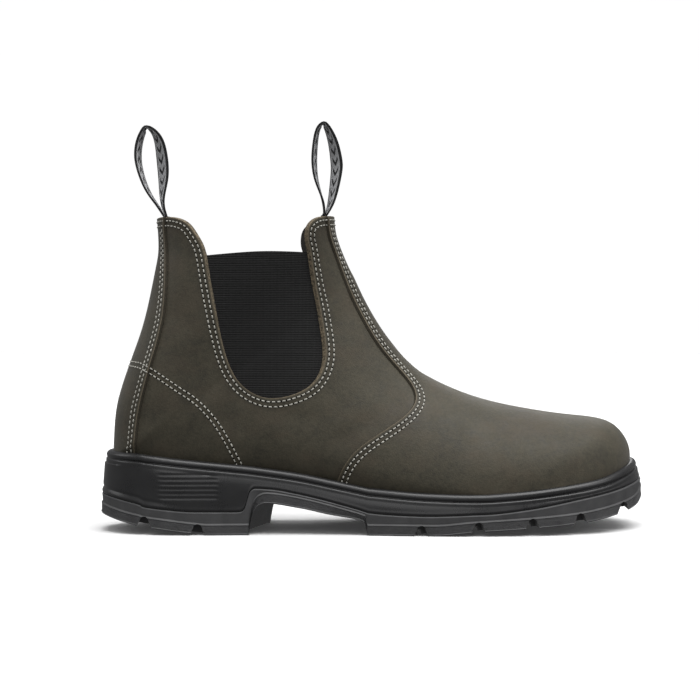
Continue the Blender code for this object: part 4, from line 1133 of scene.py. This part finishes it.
def oiled_nubuck(tree):
    """Buffed and oiled cowhide: matt, cloudy where the oil pulls away, with a fine nap and few pores, and
    painted shade in a band beside its seams.
    """
    size = sizes()
    where = add(tree, "TexCoord", out="Object")
    noise = {}
    for name, patch, detail, rough, squeeze in (
        ("clouds", size.mottle, 4.0, 0.6, 1.0),
        ("patches", size.mottle * 0.28, 5.0, 0.62, 1.0),
        ("drifts", size.mottle * 0.9, 3.0, 0.55, 1.6),
        ("nap", size.nap, 3.0, 0.6, 1.0),
        ("grains", size.nap * 2.6, 3.0, 0.6, 1.0),
        ("streaks", size.nap * 3.2, 4.0, 0.7, 0.35),
        ("pores", size.nap * 4, 3.0, 0.55, 1.0),
    ):
        at = add(tree, "Mapping", {"Vector": where, "Scale": (1.0, 1.0, squeeze)})
        grain = {"Vector": at, "Scale": 1 / patch, "Detail": detail, "Roughness": rough}
        noise[name] = add(tree, "TexNoise", grain)
    sums = {}
    for name, parts in (
        ("tone", (("clouds", 0.32), ("patches", 0.28), ("nap", 0.22), ("grains", 0.30))),
        ("dryness", (("patches", 1.0), ("nap", 0.3))),
        ("grain", (("nap", 1.0), ("pores", 1.4))),
    ):
        sums[name] = 0.0
        for part, weight in parts:
            parts_so_far = {0: noise[part], 1: weight, 2: sums[name]}
            sums[name] = add(tree, "Math", parts_so_far, operation="MULTIPLY_ADD")
    edge = add(tree, "Attribute", out="Fac", attribute_name="from_edge")
    share = {}
    for name, value, low, high, at_low, at_high in (
        ("tone", sums["tone"], 0.44, 0.68, 0.0, 1.0),
        ("warm", noise["drifts"], 0.46, 0.66, 0.0, 0.36),
        ("rubbed", edge, 0.0, 0.0006, 0.50, 0.0),
        # beside_seam and off_rim shape a band of painted shade in the stitching's channel inside each panel's
        # edge.
        ("beside_seam", edge, 0.0012, 0.0072, 0.30, 0.0),
        ("off_rim", edge, 0.0008, 0.0014, 0.0, 1.0),
        ("scuffed", noise["streaks"], 0.64, 0.78, 0.0, 0.22),
        ("rough", sums["dryness"], 0.4, 0.85, 0.50, 0.68),
    ):
        limits = {"From Min": low, "From Max": high, "To Min": at_low, "To Max": at_high}
        share[name] = add(tree, "MapRange", {"Value": value, **limits})
    # Painted shade along each seam, from about 1 to 7 mm inside the panel's edge, faded out at the rim
    # itself.
    share["seam_shade"] = add(tree, "Math", {0: share["beside_seam"], 1: share["off_rim"]}, operation="MULTIPLY")
    base = add(tree, "ValToRGB", {"Fac": share["tone"]})
    stops = base.node.color_ramp.elements
    stops[0].color = ink("leather_dark")
    stops[1].color = ink("leather_light")
    stops.new(0.5).color = ink("leather_mid")
    for name, colour, how in (
        ("warm", "leather_warm", "MIX"), ("rubbed", "raw_edge", "MIX"),
        # the third layer multiplies in leather_dark as painted shade beside the seams
        ("seam_shade", "leather_dark", "MULTIPLY"), ("scuffed", "leather_light", "MIX"),
    ):
        layers = {0: share[name], 6: base, 7: ink(colour)}
        base = add(tree, "Mix", layers, 2, data_type="RGBA", blend_type=how)
    bump = add(tree, "Bump", {"Height": sums["grain"], "Distance": 0.00022, "Strength": 0.42})
    return {
        "Base Color": base, "Roughness": share["rough"], "Normal": bump, "IOR": 1.46,
        "Specular IOR Level": 0.35, "Sheen Weight": 0.12, "Sheen Roughness": 0.45,
    }


def fibres(tree, patch, detail, rough, span, tones, depth, strength, squeeze=1.0):
    """Loose fibres in patches of one size: a colour between two tones, raised where it is light."""
    where = add(tree, "TexCoord", out="Object")
    at = add(tree, "Mapping", {"Vector": where, "Scale": (1.0, squeeze, 1.0)})
    pile = add(tree, "TexNoise", {"Vector": at, "Scale": 1 / patch, "Detail": detail, "Roughness": rough})
    share = add(tree, "MapRange", {"Value": pile, "From Min": span[0], "From Max": span[1]})
    base = add(tree, "Mix", {0: share, 6: tones[0], 7: tones[1]}, 2, data_type="RGBA")
    bump = add(tree, "Bump", {"Height": pile, "Distance": depth, "Strength": strength})
    return {"Base Color": base, "Normal": bump}


def cut_edge(tree, tone):
    """The raw side of cut leather: brown fibres, dry, and darker where oil has crept in."""
    cloth = fibres(tree, 0.0012, 4.0, 0.7, (0.35, 0.7), (ink("leather_dark"), ink(tone)), 0.0002, 0.5)
    return {**cloth, "Roughness": 0.8, "Specular IOR Level": 0.3}


def lining_cloth(tree):
    """Brushed textile lining: soft, dark, with a knit too fine to see, drawn at 1.2 mm."""
    cloth = fibres(tree, 0.0012, 3.0, 0.55, (0.35, 0.65), (ink("lining", 0.75), ink("lining")), 0.0002, 0.5)
    return {**cloth, "Roughness": 0.92, "Specular IOR Level": 0.2, "Sheen Weight": 0.25}


def footbed_felt(tree):
    """Needled felt on the footbed: dark, fibrous, dry."""
    tones = (ink("insole", 0.7), ink("insole", 1.3))
    cloth = fibres(tree, 0.0018, 5.0, 0.7, (0.35, 0.65), tones, 0.0003, 0.6, 2.4)
    return {**cloth, "Roughness": 0.95, "Specular IOR Level": 0.15, "Sheen Weight": 0.2}


def waxed_thread(tree):
    """Twisted polyester thread: light grey, a little lustre, plies slanting across it, which are drawn
    coarser than they are so that they show."""
    where = add(tree, "TexCoord", out="Object")
    bands = {"Vector": where, "Scale": math.tau / 10 / PLY_PITCH, "Distortion": 1.5}
    plies = add(tree, "TexWave", bands, "Fac", bands_direction="DIAGONAL")
    tones = {6: ink("thread", 0.72), 7: ink("thread")}
    return {
        "Base Color": add(tree, "Mix", {0: plies, **tones}, 2, data_type="RGBA"),
        "Normal": add(tree, "Bump", {"Height": plies, "Distance": 0.00012, "Strength": 0.6}),
        "Roughness": 0.6, "Specular IOR Level": 0.4, "Sheen Weight": 0.1,
    }


def painted_hole_shade(_tree):
    """Painted shade of the needle holes and the channel between the stitches: near black and matt, so that
    each stitch stands out.
    """
    return {"Base Color": ink("leather_dark", 0.22), "Roughness": 0.85, "Specular IOR Level": 0.15}


def ribbed_elastic(tree):
    """Woven elastic: black ribs across the stretch, each made of short floats, with faint lozenges."""
    rib = sizes().rib
    where = add(tree, "TexCoord", out="Object")
    waves = []
    for way, length in (
        ((0, 0, 1), rib), ((1, 0, 0), rib * CORD_SHARE), ((1, 0, 1), LOZENGE), ((1, 0, -1), LOZENGE)
    ):
        run = add(tree, "VectorMath", {0: where, 1: way}, "Value", operation="DOT_PRODUCT")
        turn = add(tree, "Math", {0: run, 1: math.tau / length}, operation="MULTIPLY")
        waves.append(add(tree, "Math", {0: turn}, operation="SINE"))
    ribs, cords, *lozenge_sides = waves
    lozenges = add(tree, "Math", dict(enumerate(lozenge_sides)), operation="MULTIPLY")
    sway = add(tree, "TexNoise", {"Vector": where, "Scale": 1 / 0.004, "Detail": 3.0, "Roughness": 0.55})
    weave = 0.0
    for part, weight in ((ribs, 0.7), (cords, 0.28), (lozenges, 0.22), (sway, 0.5)):
        weave = add(tree, "Math", {0: part, 1: weight, 2: weave}, operation="MULTIPLY_ADD")
    share = add(tree, "MapRange", {"Value": weave, "From Min": -0.8, "From Max": 1.2})
    tones = {6: ink("elastic", 0.45), 7: ink("elastic", 1.9)}
    return {
        "Base Color": add(tree, "Mix", {0: share, **tones}, 2, data_type="RGBA"),
        "Normal": add(tree, "Bump", {"Height": weave, "Distance": 0.00025, "Strength": 0.75}),
        "Roughness": 0.78, "Specular IOR Level": 0.32, "Sheen Weight": 0.15,
    }


def tape(tree, grey):
    """Woven webbing, read along and across the tape: black selvedges and a grey ground with a plain
    black chevron row on the inner face."""
    uv = add(tree, "UVMap", uv_map="tape")
    split = add(tree, "SeparateXYZ", {0: uv}).node.outputs
    run, across = split["X"], split["Y"]
    threads = {}
    for socket, (value, pitch) in enumerate(((run, TAPE_FLOAT), (across, TAPE_WEFT))):
        turn = add(tree, "Math", {0: value, 1: math.tau / pitch}, operation="MULTIPLY")
        threads[socket] = add(tree, "Math", {0: turn}, operation="SINE")
    weave = add(tree, "Math", threads, operation="MULTIPLY")
    share = add(tree, "MapRange", {"Value": weave, "From Min": -1.0, "From Max": 1.0})
    ground, dips, tops = ("tape_grey", 0.78, 1.0) if grey else ("tape_black", 0.5, 1.7)
    base = add(tree, "Mix", {0: share, 6: ink(ground, dips), 7: ink(ground, tops)}, 2, data_type="RGBA")
    if grey:
        middle = add(tree, "Math", {0: across, 1: LOOP_WIDTH / 2}, operation="SUBTRACT")
        aside = add(tree, "Math", {0: middle}, operation="ABSOLUTE")
        slanted = add(tree, "Math", {0: aside, 1: CHEVRON_SLANT, 2: run}, operation="MULTIPLY_ADD")
        turn = add(tree, "Math", {0: slanted, 1: math.tau / CHEVRON}, operation="MULTIPLY")
        wave = add(tree, "Math", {0: turn}, operation="SINE")
        marks = add(tree, "Math", {0: wave, 1: 0.35}, operation="GREATER_THAN")
        within = add(tree, "Math", {0: aside, 1: LOOP_WIDTH * 0.25}, operation="LESS_THAN")
        marks = add(tree, "Math", {0: marks, 1: within}, operation="MULTIPLY")
        selvedge = add(tree, "Math", {0: aside, 1: LOOP_WIDTH / 2 - SELVEDGE}, operation="GREATER_THAN")
        dark = add(tree, "Math", {0: marks, 1: selvedge}, operation="MAXIMUM")
        base = add(tree, "Mix", {0: dark, 6: base, 7: ink("tape_black")}, 2, data_type="RGBA")
    bump = add(tree, "Bump", {"Height": weave, "Distance": 0.0002, "Strength": 0.7})
    return {
        "Base Color": base, "Normal": bump,
        "Roughness": 0.7, "Specular IOR Level": 0.35, "Sheen Weight": 0.12,
    }


def moulded(tree, haze, fine, high, tones, weights, rough_from, rough_to, bump):
    """A moulded skin: a faint haze in its colour, and fine texture in its gloss and its relief. haze and
    fine are the size and detail of the two noises, and weights say how much each does to the gloss."""
    where = add(tree, "TexCoord", out="Object")
    noises = [
        add(tree, "TexNoise", {"Vector": where, "Scale": 1 / patch, "Detail": detail, "Roughness": 0.55})
        for patch, detail in (haze, fine)
    ]
    share = add(tree, "MapRange", {"Value": noises[0], "From Min": 0.3, "From Max": high})
    gloss = 0.0
    for noise, weight in zip(noises, weights):
        gloss = add(tree, "Math", {0: noise, 1: weight, 2: gloss}, operation="MULTIPLY_ADD")
    limits = dict(zip(("From Min", "From Max", "To Min", "To Max"), (*rough_from, *rough_to)))
    return {
        "Base Color": add(tree, "Mix", {0: share, 6: tones[0], 7: tones[1]}, 2, data_type="RGBA"),
        "Roughness": add(tree, "MapRange", {"Value": gloss, **limits}),
        "Normal": add(tree, "Bump", {"Height": noises[1], "Distance": bump[0], "Strength": bump[1]}),
    }


def moulded_midsole(tree):
    """Direct-moulded polyurethane: near black with a skin that is satin where the mould was polished."""
    tones = (ink("midsole", 0.85), ink("midsole", 1.15))
    skin_of = moulded(
        tree, (0.014, 3.0), (0.0006, 2.0), 0.7, tones, (1.0, 0.4), (0.4, 1.0), (0.22, 0.38), (0.00006, 0.35)
    )
    return {**skin_of, "Specular IOR Level": 0.5, "IOR": 1.5, "Coat Weight": 0.08, "Coat Roughness": 0.3}


def moulded_rubber(tree):
    """Compression-moulded nitrile rubber: dark grey, matt, with dust in its texture."""
    tones = (ink("outsole", 0.82), ink("outsole", 1.15))
    skin_of = moulded(
        tree, (0.009, 4.0), (0.0008, 3.0), 0.72, tones, (0.0, 1.0), (0.3, 0.7), (0.5, 0.66), (0.00012, 0.4)
    )
    return {**skin_of, "Specular IOR Level": 0.4, "IOR": 1.52}


def studio_surface(tree, patch, detail, tones, plain):
    """An even white surface with a mist that is only just there."""
    where = add(tree, "TexCoord", out="Object")
    mist = add(tree, "TexNoise", {"Vector": where, "Scale": 1 / patch, "Detail": detail, "Roughness": 0.55})
    base = add(tree, "Mix", {0: mist, 6: tones[0], 7: tones[1]}, 2, data_type="RGBA")
    return {"Base Color": base, **plain}


def painted_floor(tree):
    """Matt white studio board, lit a little from below as a light table is."""
    tones = (ink("floor", 0.99), ink("floor"))
    return studio_surface(tree, 0.6, 2.0, tones, {
        "Roughness": 0.95, "Specular IOR Level": 0.0, "Emission Color": WHITE, "Emission Strength": 0.02,
    })


def studio_paper(tree):
    """White paper round the set, lit evenly."""
    tones = ((0.02, 0.02, 0.02, 1), (0.03, 0.03, 0.03, 1))
    return studio_surface(tree, 1.5, 1.0, tones, {
        "Roughness": 1.0, "Specular IOR Level": 0.0, "Emission Color": WHITE, "Emission Strength": 1.0,
    })


# The pull loops


def tape_outline(table, lean, share, shift):
    """One edge of a pull loop seen from the side, from its root over the top and back."""
    curve = spline(table, np.linspace(0, len(table) - 1, 12 * (len(table) - 1) + 1))
    middle = lean * curve[:, 1]
    bulge = shift * np.sin(math.pi * np.clip(curve[:, 1], 0, 1))
    curve = np.stack([middle + share * (curve[:, 0] - middle) + bulge, curve[:, 1]], axis=1) * LOOP_HEIGHT
    steps = np.concatenate([[0], np.cumsum(np.linalg.norm(np.diff(curve, axis=0), axis=1))])
    at = np.linspace(0, steps[-1], LOOP_POINTS)
    return np.stack([np.interp(at, steps, part) for part in curve.T], axis=1), steps[-1]


def pull_loop(name, front, wall, finishes):
    """A loop of tape with its black outside, grey inside, and both ends laid down inside the collar."""
    table, ear, way = (FRONT_LOOP, FRONT_EAR[-1], 1) if front else (REAR_LOOP, REAR_EAR[0], -1)
    lean, shift = LOOP_LEANS["front" if front else "rear"]
    root_z = ear[1] * BOOT_HEIGHT + 3 * CLEARANCE

    def wall_at(y, z):
        """How far along the boot the collar's inside lies."""
        start = Vector((SHAFT_MIDDLE, y, min(z, root_z - 0.0015)))
        return wall.ray_cast(start, Vector((way, 0, 0)))[0].x + HEEL_REST

    root_x = wall_at(0.0, root_z) - way * (CLEARANCE + WEBBING)
    near, length = tape_outline(table, lean, 1.0, 0.0)
    far, _ = tape_outline(table, lean, LOOP_FAR_SHARE, shift)
    points, uv, faces, of_face = [], [], [], []
    columns = np.linspace(0, 1, LOOP_COLUMNS + 1)
    wide = len(columns)
    for layer in (0, 1):
        for share in columns:
            line = near + (far - near) * share
            direction = np.gradient(line, axis=0)
            direction /= np.linalg.norm(direction, axis=1, keepdims=True)
            inward = np.stack([direction[:, 1], -direction[:, 0]], axis=1)
            # Near its root the tape is no thicker than the room between its two runs
            room = np.abs(line[:, 0] - line[::-1, 0])
            thick = np.minimum(WEBBING, np.maximum(room * 0.46, 0.0004))
            dull = TAPE_DULL * max(1 - min(share, 1 - share) * 10, 0)
            offset = inward * (thick[:, None] * layer + (-dull if layer else dull))
            for k, (x, z) in enumerate(line + offset):
                points.append((root_x + x, LOOP_WIDTH * (share - 0.5), root_z + z))
                uv.append((length * k / (LOOP_POINTS - 1), LOOP_WIDTH * share))
    levels = root_z + np.linspace(-LOOP_TAIL, 0.0008, TAIL_ROWS)
    for depth in (CLEARANCE, CLEARANCE + 2 * WEBBING):
        for level in levels:
            for share in columns:
                y = LOOP_WIDTH * (share - 0.5) * TAIL_WIDTH
                points.append((wall_at(y, level) - way * depth, y, level))
                uv.append((level, LOOP_WIDTH * share))

    def band(first, second, number=0):
        """Joins two runs of points."""
        for k in range(len(first) - 1):
            faces.append((first[k], second[k], second[k + 1], first[k + 1]))
            of_face.append(number)

    tape_spots = np.arange(2 * wide * LOOP_POINTS).reshape(2, wide, LOOP_POINTS)
    tail_spots = tape_spots.size + np.arange(2 * TAIL_ROWS * wide).reshape(2, TAIL_ROWS, wide)
    for spots, inside in ((tape_spots, 1), (tail_spots, 0)):
        for layer in (0, 1):
            for row, next_row in zip(spots[layer], spots[layer, 1:]):
                band(row, next_row, layer * inside)
        for side in (0, -1):
            band(spots[0, side], spots[1, side])
            band(spots[0, :, side], spots[1, :, side])
    return make_object(name, points, faces, finishes, of_face, 50, uv)


# The midsole and the outsole


def panel_mask(x, z):
    """How far a place lies in the plain panel on the heel's side: 1 inside it, 0 outside."""
    mask = 1.0
    for value, (low, high) in ((x, PANEL_X), (z, PANEL_Z)):
        mask = mask * np.clip((value - low) / PANEL_SOFT, 0, 1) * np.clip((high - value) / PANEL_SOFT, 0, 1)
    return mask


def swell(z, at, wide):
    """A soft swelling round a height."""
    return np.exp(-(((z - at) / wide) ** 2))


def moulded_wall(rubbery):
    """The wall under the upper: a bead, the line under it and a flank that flares to the outsole."""
    loop, zones, _ = fine_loop()
    rim = height(FEATHER, zones)
    join = height(JOIN, zones) + CLEARANCE / 2
    rings = [(out, rim - EMBED + 0.0001) for out in WALL_INNER]
    calm = CALM_SHARE * np.clip((CALM_ZONE - zones) / CALM_FADE, 0, 1)
    for out, down in RIM_PROFILE:
        settled = calm if down > 2.5 and out > 0 else 0.0
        rings.append(((out + (CALM_OUT - out) * settled) / 1000, rim - down / 1000))
    top = rim - RIM_PROFILE[-1][1] / 1000
    start = RIM_PROFILE[-1][0] / 1000
    at_back = np.clip((LEAN_ZONE - zones) / LEAN_FADE, 0, 1)
    for step in range(1, WALL_RINGS + 1):
        share = step / WALL_RINGS
        z = top + (join - top) * share
        leaning = start + (WALL_OUT - start) * share
        upright = WALL_OUT - (WALL_OUT - start) * np.exp(-(top - z) / WALL_TURN)
        out = upright + (leaning - upright) * at_back
        out = out + WALL_LIP * swell(z, join + 0.0010, 0.0009) * (0.35 + 0.65 * at_back)
        out = out - WALL_GROOVE * at_back * swell(z, join + 0.0034, 0.0008)
        out = out - WALL_FOOT * (1 - np.clip((z - join) / 0.0009, 0, 1))
        mask = panel_mask(loop[:, 0], z) * (np.abs(loop[:, 1]) > 0.01)
        ribs = 0.5 + 0.5 * np.cos(math.tau * (z - PANEL_Z[0]) / PANEL_RIB)
        rings.append((out - mask * PANEL_DEPTH * (1 - 0.75 * ribs), z))
    rings.append((JOIN_OUT, join))
    return ringed("moulded_wall", rings, [rubbery])


def lugged_rubber(rubbery):
    """The outsole: a smooth edge, lugs with fine lines round their sides, slots and cross grooves."""
    loop, zones, _ = fine_loop()
    join = height(JOIN, zones) - CLEARANCE / 2
    tread = tread_height(zones)
    lug_top = np.minimum(tread + LUG_HEIGHT, join - LUG_HEIGHT * 0.3)
    edge_low, edge_high = lug_top + EDGE_CHAMFER, join - EDGE_CHAMFER
    rings = [(JOIN_OUT, join), (SOLE_OUT - 0.0003, join - 0.0001), (SOLE_OUT, edge_high)]
    for share in (0.25, 0.5, 0.75):
        rings.append((SOLE_OUT - EDGE_CHAMFER * 0.5 * share, edge_high * (1 - share) + edge_low * share))
    rings += [
        (SOLE_OUT - EDGE_CHAMFER * 0.55, edge_low),
        (LUG_OUT - 0.0001, lug_top + 0.0001), (LUG_OUT + 0.0001, lug_top - 0.0003),
    ]
    low, high = tread + 0.0009, lug_top - 0.0006
    for step in range(LUG_LINES * 2 + 1):
        rings.append((LUG_OUT - LUG_LINE_DEPTH * (step % 2), high + (low - high) * step / (LUG_LINES * 2)))
    rings += [
        (LUG_OUT + EDGE_CHAMFER * 0.4, tread + EDGE_CHAMFER), (LUG_OUT, tread + EDGE_CHAMFER * 0.3),
        (LUG_OUT - EDGE_CHAMFER * 0.6, tread), (LUG_OUT - TREAD_BAND, tread),
        (LUG_OUT - TREAD_BAND - 0.0010, tread + TREAD_RECESS),
        (LUG_OUT - TREAD_BAND - 0.0040, tread + TREAD_RECESS),
    ]
    sole = ringed("lugged_rubber", rings, [rubbery])
    for zone, deep in NOTCHES:
        x, low_z = float(along(zone)), float(tread_height(zone))
        ys = loop[np.argsort(abs(loop[:, 0] - x))[:6], 1]
        for edge_y, way in ((ys.min(), 1), (ys.max(), -1)):
            ends = sorted((edge_y - way * NOTCH_DEPTH, edge_y + way * SLOT_DEPTH * deep))
            cut_away(sole, *slot_form(x, *ends, SLOT_WIDTH, low_z + SLOT_HEIGHT, low_z - LUG_HEIGHT * 0.3))
    for zone in CROSS_GROOVES:
        x, low_z = float(along(zone)), float(tread_height(zone))
        ends = (-BALL_WIDTH, BALL_WIDTH)
        cut_away(sole, *slot_form(x, *ends, GROOVE_WIDTH, low_z + GROOVE_DEPTH, low_z - LUG_HEIGHT))
    sole.data.shade_smooth()
    sole.data.set_sharp_from_angle(angle=math.radians(32))
    return sole


def footbed():
    """The felt footbed: thin, domed at its edge, inside the quarters."""
    _, zones, _ = fine_loop()
    bed = height(FEATHER, zones) - EMBED + 0.0004
    inset = -(LEATHER + TUCK + 3 * CLEARANCE)
    rings = [
        (inset + out, bed + INSOLE_THICKNESS * share)
        for out, share in (
            (-0.0140, 0.72), (-0.0075, 0.82), (-INSOLE_RIM, 1.0), (-INSOLE_RIM * 0.35, 0.75), (0.0, 0.2),
            (0.0, 0.0),
        )
    ]
    return ringed("footbed", rings, [finish("Footbed felt", footbed_felt)])


# The studio


def stage_sheet(name, points, faces, surface):
    """A part of the studio, which isn't part of the boot."""
    mesh = bpy.data.meshes.new(name)
    mesh.from_pydata(points, [], faces)
    mesh.materials.append(surface)
    mesh.shade_smooth()
    obj = put(name, mesh)
    return obj


def studio():
    """A white floor, a white surround that lights nothing, a soft sky light and four soft boxes."""
    half = STUDIO_REACH + 0.1
    corners = [(-half, -half, 0), (half, -half, 0), (half, half, 0), (-half, half, 0)]
    floor = stage_sheet("floor", corners, [(0, 1, 2, 3)], finish("Matt studio board", painted_floor))
    floor.visible_glossy = floor.visible_diffuse = False
    turns = [math.tau * k / SURROUND_SIDES for k in range(SURROUND_SIDES)]
    ring = [(STUDIO_REACH * math.cos(turn), STUDIO_REACH * math.sin(turn)) for turn in turns]
    points = [(x, y, z) for z in (-0.01, half) for x, y in ring] + [(0.0, 0.0, half)]
    faces = []
    for k in range(SURROUND_SIDES):
        a, b = SURROUND_SIDES + k, SURROUND_SIDES + (k + 1) % SURROUND_SIDES
        faces += [(a - SURROUND_SIDES, b - SURROUND_SIDES, b, a), (a, b, 2 * SURROUND_SIDES)]
    surround = stage_sheet("surround", points, faces, finish("Lit studio paper", studio_paper))
    surround.visible_diffuse = surround.visible_glossy = surround.visible_shadow = False

    sky = bpy.data.lights.new("sky", "SUN")
    sky.energy = SKY_STRENGTH
    sky.angle = math.radians(60)
    put("sky", sky).rotation_euler = [math.radians(turn) for turn in SKY_TILT]
    for name, energy, size, at, aim in SOFT_BOXES:
        light = bpy.data.lights.new(name, "AREA")
        light.energy = energy
        light.size = size
        lamp = put(name, light)
        lamp.location = at
        lamp.rotation_euler = (Vector(aim) - Vector(at)).to_track_quat("-Z", "Y").to_euler()
    world = bpy.context.scene.world or bpy.data.worlds.new("studio")
    bpy.context.scene.world = world
    world.use_nodes = True
    background = world.node_tree.nodes["Background"]
    background.inputs["Color"].default_value = WHITE
    background.inputs["Strength"].default_value = WORLD_STRENGTH
    bpy.context.scene.view_settings.view_transform = "Standard"

    camera_data = bpy.data.cameras.new("camera")
    camera_data.lens = CAMERA_LENS
    camera_data.sensor_width = 36.0
    camera = put("camera", camera_data)
    camera.location = CAMERA_AT
    look = Vector((
        math.sin(CAMERA_TURN) * math.cos(CAMERA_PITCH), math.cos(CAMERA_TURN) * math.cos(CAMERA_PITCH),
        -math.sin(CAMERA_PITCH),
    ))
    camera.rotation_euler = look.to_track_quat("-Z", "Y").to_euler()
    bpy.context.scene.camera = camera


# Operators


class BootPiece:
    """What every piece's operator shares"""

    bl_options = {"REGISTER", "UNDO"}

    def execute(self, context):
        self.make()
        return {"FINISHED"}


class BOOT_OT_outsole(BootPiece, bpy.types.Operator):
    """Build the lugged rubber with its heel block and notches"""

    bl_idname = "boot.outsole"
    bl_label = "Outsole"

    def make(self):
        attach(lugged_rubber(finish("Moulded rubber", moulded_rubber)), "rubber", "outsole")


class BOOT_OT_midsole(BootPiece, bpy.types.Operator):
    """Build the moulded wall with its bead and the line under it"""

    bl_idname = "boot.midsole"
    bl_label = "Midsole"

    def make(self):
        attach(moulded_wall(finish("Moulded polyurethane", moulded_midsole)), "foam", "midsole")


class BOOT_OT_insole(BootPiece, bpy.types.Operator):
    """Lay the felt footbed inside"""

    bl_idname = "boot.insole"
    bl_label = "Insole"

    def make(self):
        attach(footbed(), "insole", "insole")


class BOOT_OT_upper(BootPiece, bpy.types.Operator):
    """Build the quarters, one wall of leather with its lining"""

    bl_idname = "boot.upper"
    bl_label = "Quarters"

    def make(self):
        finishes = [
            finish("Oiled nubuck", oiled_nubuck), finish("Cut leather edge", cut_edge, "raw_edge"),
            finish("Lining cloth", lining_cloth),
        ]
        wall = leather_layer("quarters", keep_upper, 0.0, -LEATHER, finishes, sizes().edge_slant)
        attach(wall, "leather", "upper")


class BOOT_OT_overlays(BootPiece, bpy.types.Operator):
    """Build the vamp with its front strip and the back stay over the quarters"""

    bl_idname = "boot.overlays"
    bl_label = "Vamp and back stay"

    def make(self):
        # The overlays' cut edges take this darker colour, which paints the shade of their edge line over the
        # oiled leather's own colour.
        raw = finish("Oiled leather edge", cut_edge, "oiled_edge_and_shade")
        finishes = [finish("Oiled nubuck", oiled_nubuck), raw, raw]
        outer, inner = CLEARANCE + OVERLAY, CLEARANCE * 0.3
        for name, node, seam in zip(("vamp_panel", "back_stay_panel"), ("vamp", "back_stay"), OVERLAY_SEAMS):
            panel = leather_layer(name, keep_overlay(*seam), outer, inner, finishes, sizes().edge_slant)
            attach(panel, "leather", node)


class BOOT_OT_gores(BootPiece, bpy.types.Operator):
    """Build the two elastic gores behind the leather"""

    bl_idname = "boot.gores"
    bl_label = "Elastic gores"

    def make(self):
        web = finish("Woven elastic", ribbed_elastic)
        face = -LEATHER - CLEARANCE
        for name, node, side in (("elastic_outer", "gore_outer", -1), ("elastic_inner", "gore_inner", 1)):
            gore = leather_layer(name, keep_gore(side), face, face - ELASTIC, [web, web, web], 0.0)
            attach(gore, "elastic", node)


class BOOT_OT_stitching(BootPiece, bpy.types.Operator):
    """Sew the double rows along every panel"""

    bl_idname = "boot.stitching"
    bl_label = "Stitching"

    def make(self):
        # The second finish is the painted shade at the needle holes.
        finishes = [
            finish("Waxed polyester thread", waxed_thread), finish("Needle-pressed leather", painted_hole_shade)
        ]
        tree = skin_tree()
        seams = {"vamp_stitches": [], "stay_stitches": [], "gore_stitches": [], "counter_stitches": []}
        for side in (-1, 1):
            for name, table, gaps, way in (
                ("vamp_stitches", VAMP_SEAM[1:], (0.0023, 0.0049), 1),
                ("stay_stitches", BACK_SEAM[1:], (0.0024, 0.0047), -1),
                ("gore_stitches", REAR_EAR + GORE + FRONT_EAR, (0.0019, 0.0046), -1),
            ):
                round_collar = name == "gore_stitches"
                line = draped(smooth_outline(table, 10), side, tree, round_collar, round_collar)
                seams[name] += [lifted(shifted_row(line, -gap * way * side, tree)) for gap in gaps]
            curve = spline(COUNTER_SEAM, np.linspace(0, len(COUNTER_SEAM) - 1, 80)) / 1000
            line = draped(curve, side, tree, True)
            gaps = (0.0, 0.0026)
            seams["counter_stitches"] += [lifted(shifted_row(line, gap * side, tree)) for gap in gaps]
        for name, rows in seams.items():
            stitching(name, rows, finishes)


class BOOT_OT_loops(BootPiece, bpy.types.Operator):
    """Build the two pull loops of woven tape and lay their tails inside the collar"""

    bl_idname = "boot.loops"
    bl_label = "Pull loops"

    def make(self):
        finishes = [finish("Black tape", tape, False), finish("Grey tape", tape, True)]
        mesh = bpy.data.objects["quarters"].data
        corners = [v.co.copy() for v in mesh.vertices]
        wall = BVHTree.FromPolygons(corners, [tuple(f.vertices) for f in mesh.polygons])
        for name, node, front in (
            ("rear_loop", "pull_loop_rear", False), ("front_loop", "pull_loop_front", True)
        ):
            attach(pull_loop(name, front, wall, finishes), "webbing", node)


class BOOT_OT_stage(BootPiece, bpy.types.Operator):
    """Set the floor, the soft light and the camera"""

    bl_idname = "boot.stage"
    bl_label = "Studio"

    def make(self):
        studio()


PIECES = (
    BOOT_OT_outsole, BOOT_OT_midsole, BOOT_OT_insole, BOOT_OT_upper, BOOT_OT_overlays, BOOT_OT_gores,
    BOOT_OT_stitching, BOOT_OT_loops, BOOT_OT_stage,
)


class BOOT_PT_panel(bpy.types.Panel):
    """The boot's sizes, colours and pieces"""

    bl_label = "Boot"
    bl_space_type = "VIEW_3D"
    bl_region_type = "UI"
    bl_category = "Boot"

    def draw(self, context):
        for group in (context.scene.boot_sizes, context.scene.boot_colours):
            for key in group.__annotations__:
                self.layout.prop(group, key)
        for piece in PIECES:
            self.layout.operator(piece.bl_idname)


CLASSES = (BootSizes, BootColours, *PIECES, BOOT_PT_panel)


def register():
    """Adds the boot's sizes, colours, operators and panel to Blender."""
    for cls in CLASSES:
        bpy.utils.register_class(cls)
    bpy.types.Scene.boot_sizes = PointerProperty(type=BootSizes)
    bpy.types.Scene.boot_colours = PointerProperty(type=BootColours)


def unregister():
    """Takes them out again."""
    del bpy.types.Scene.boot_colours
    del bpy.types.Scene.boot_sizes
    for cls in reversed(CLASSES):
        bpy.utils.unregister_class(cls)


def main():
    """Builds the boot in its studio."""
    register()
    bpy.ops.boot.outsole()
    bpy.ops.boot.midsole()
    bpy.ops.boot.insole()
    bpy.ops.boot.upper()
    bpy.ops.boot.overlays()
    bpy.ops.boot.gores()
    bpy.ops.boot.stitching()
    bpy.ops.boot.loops()
    bpy.ops.boot.stage()


if __name__ == "__main__":
    main()
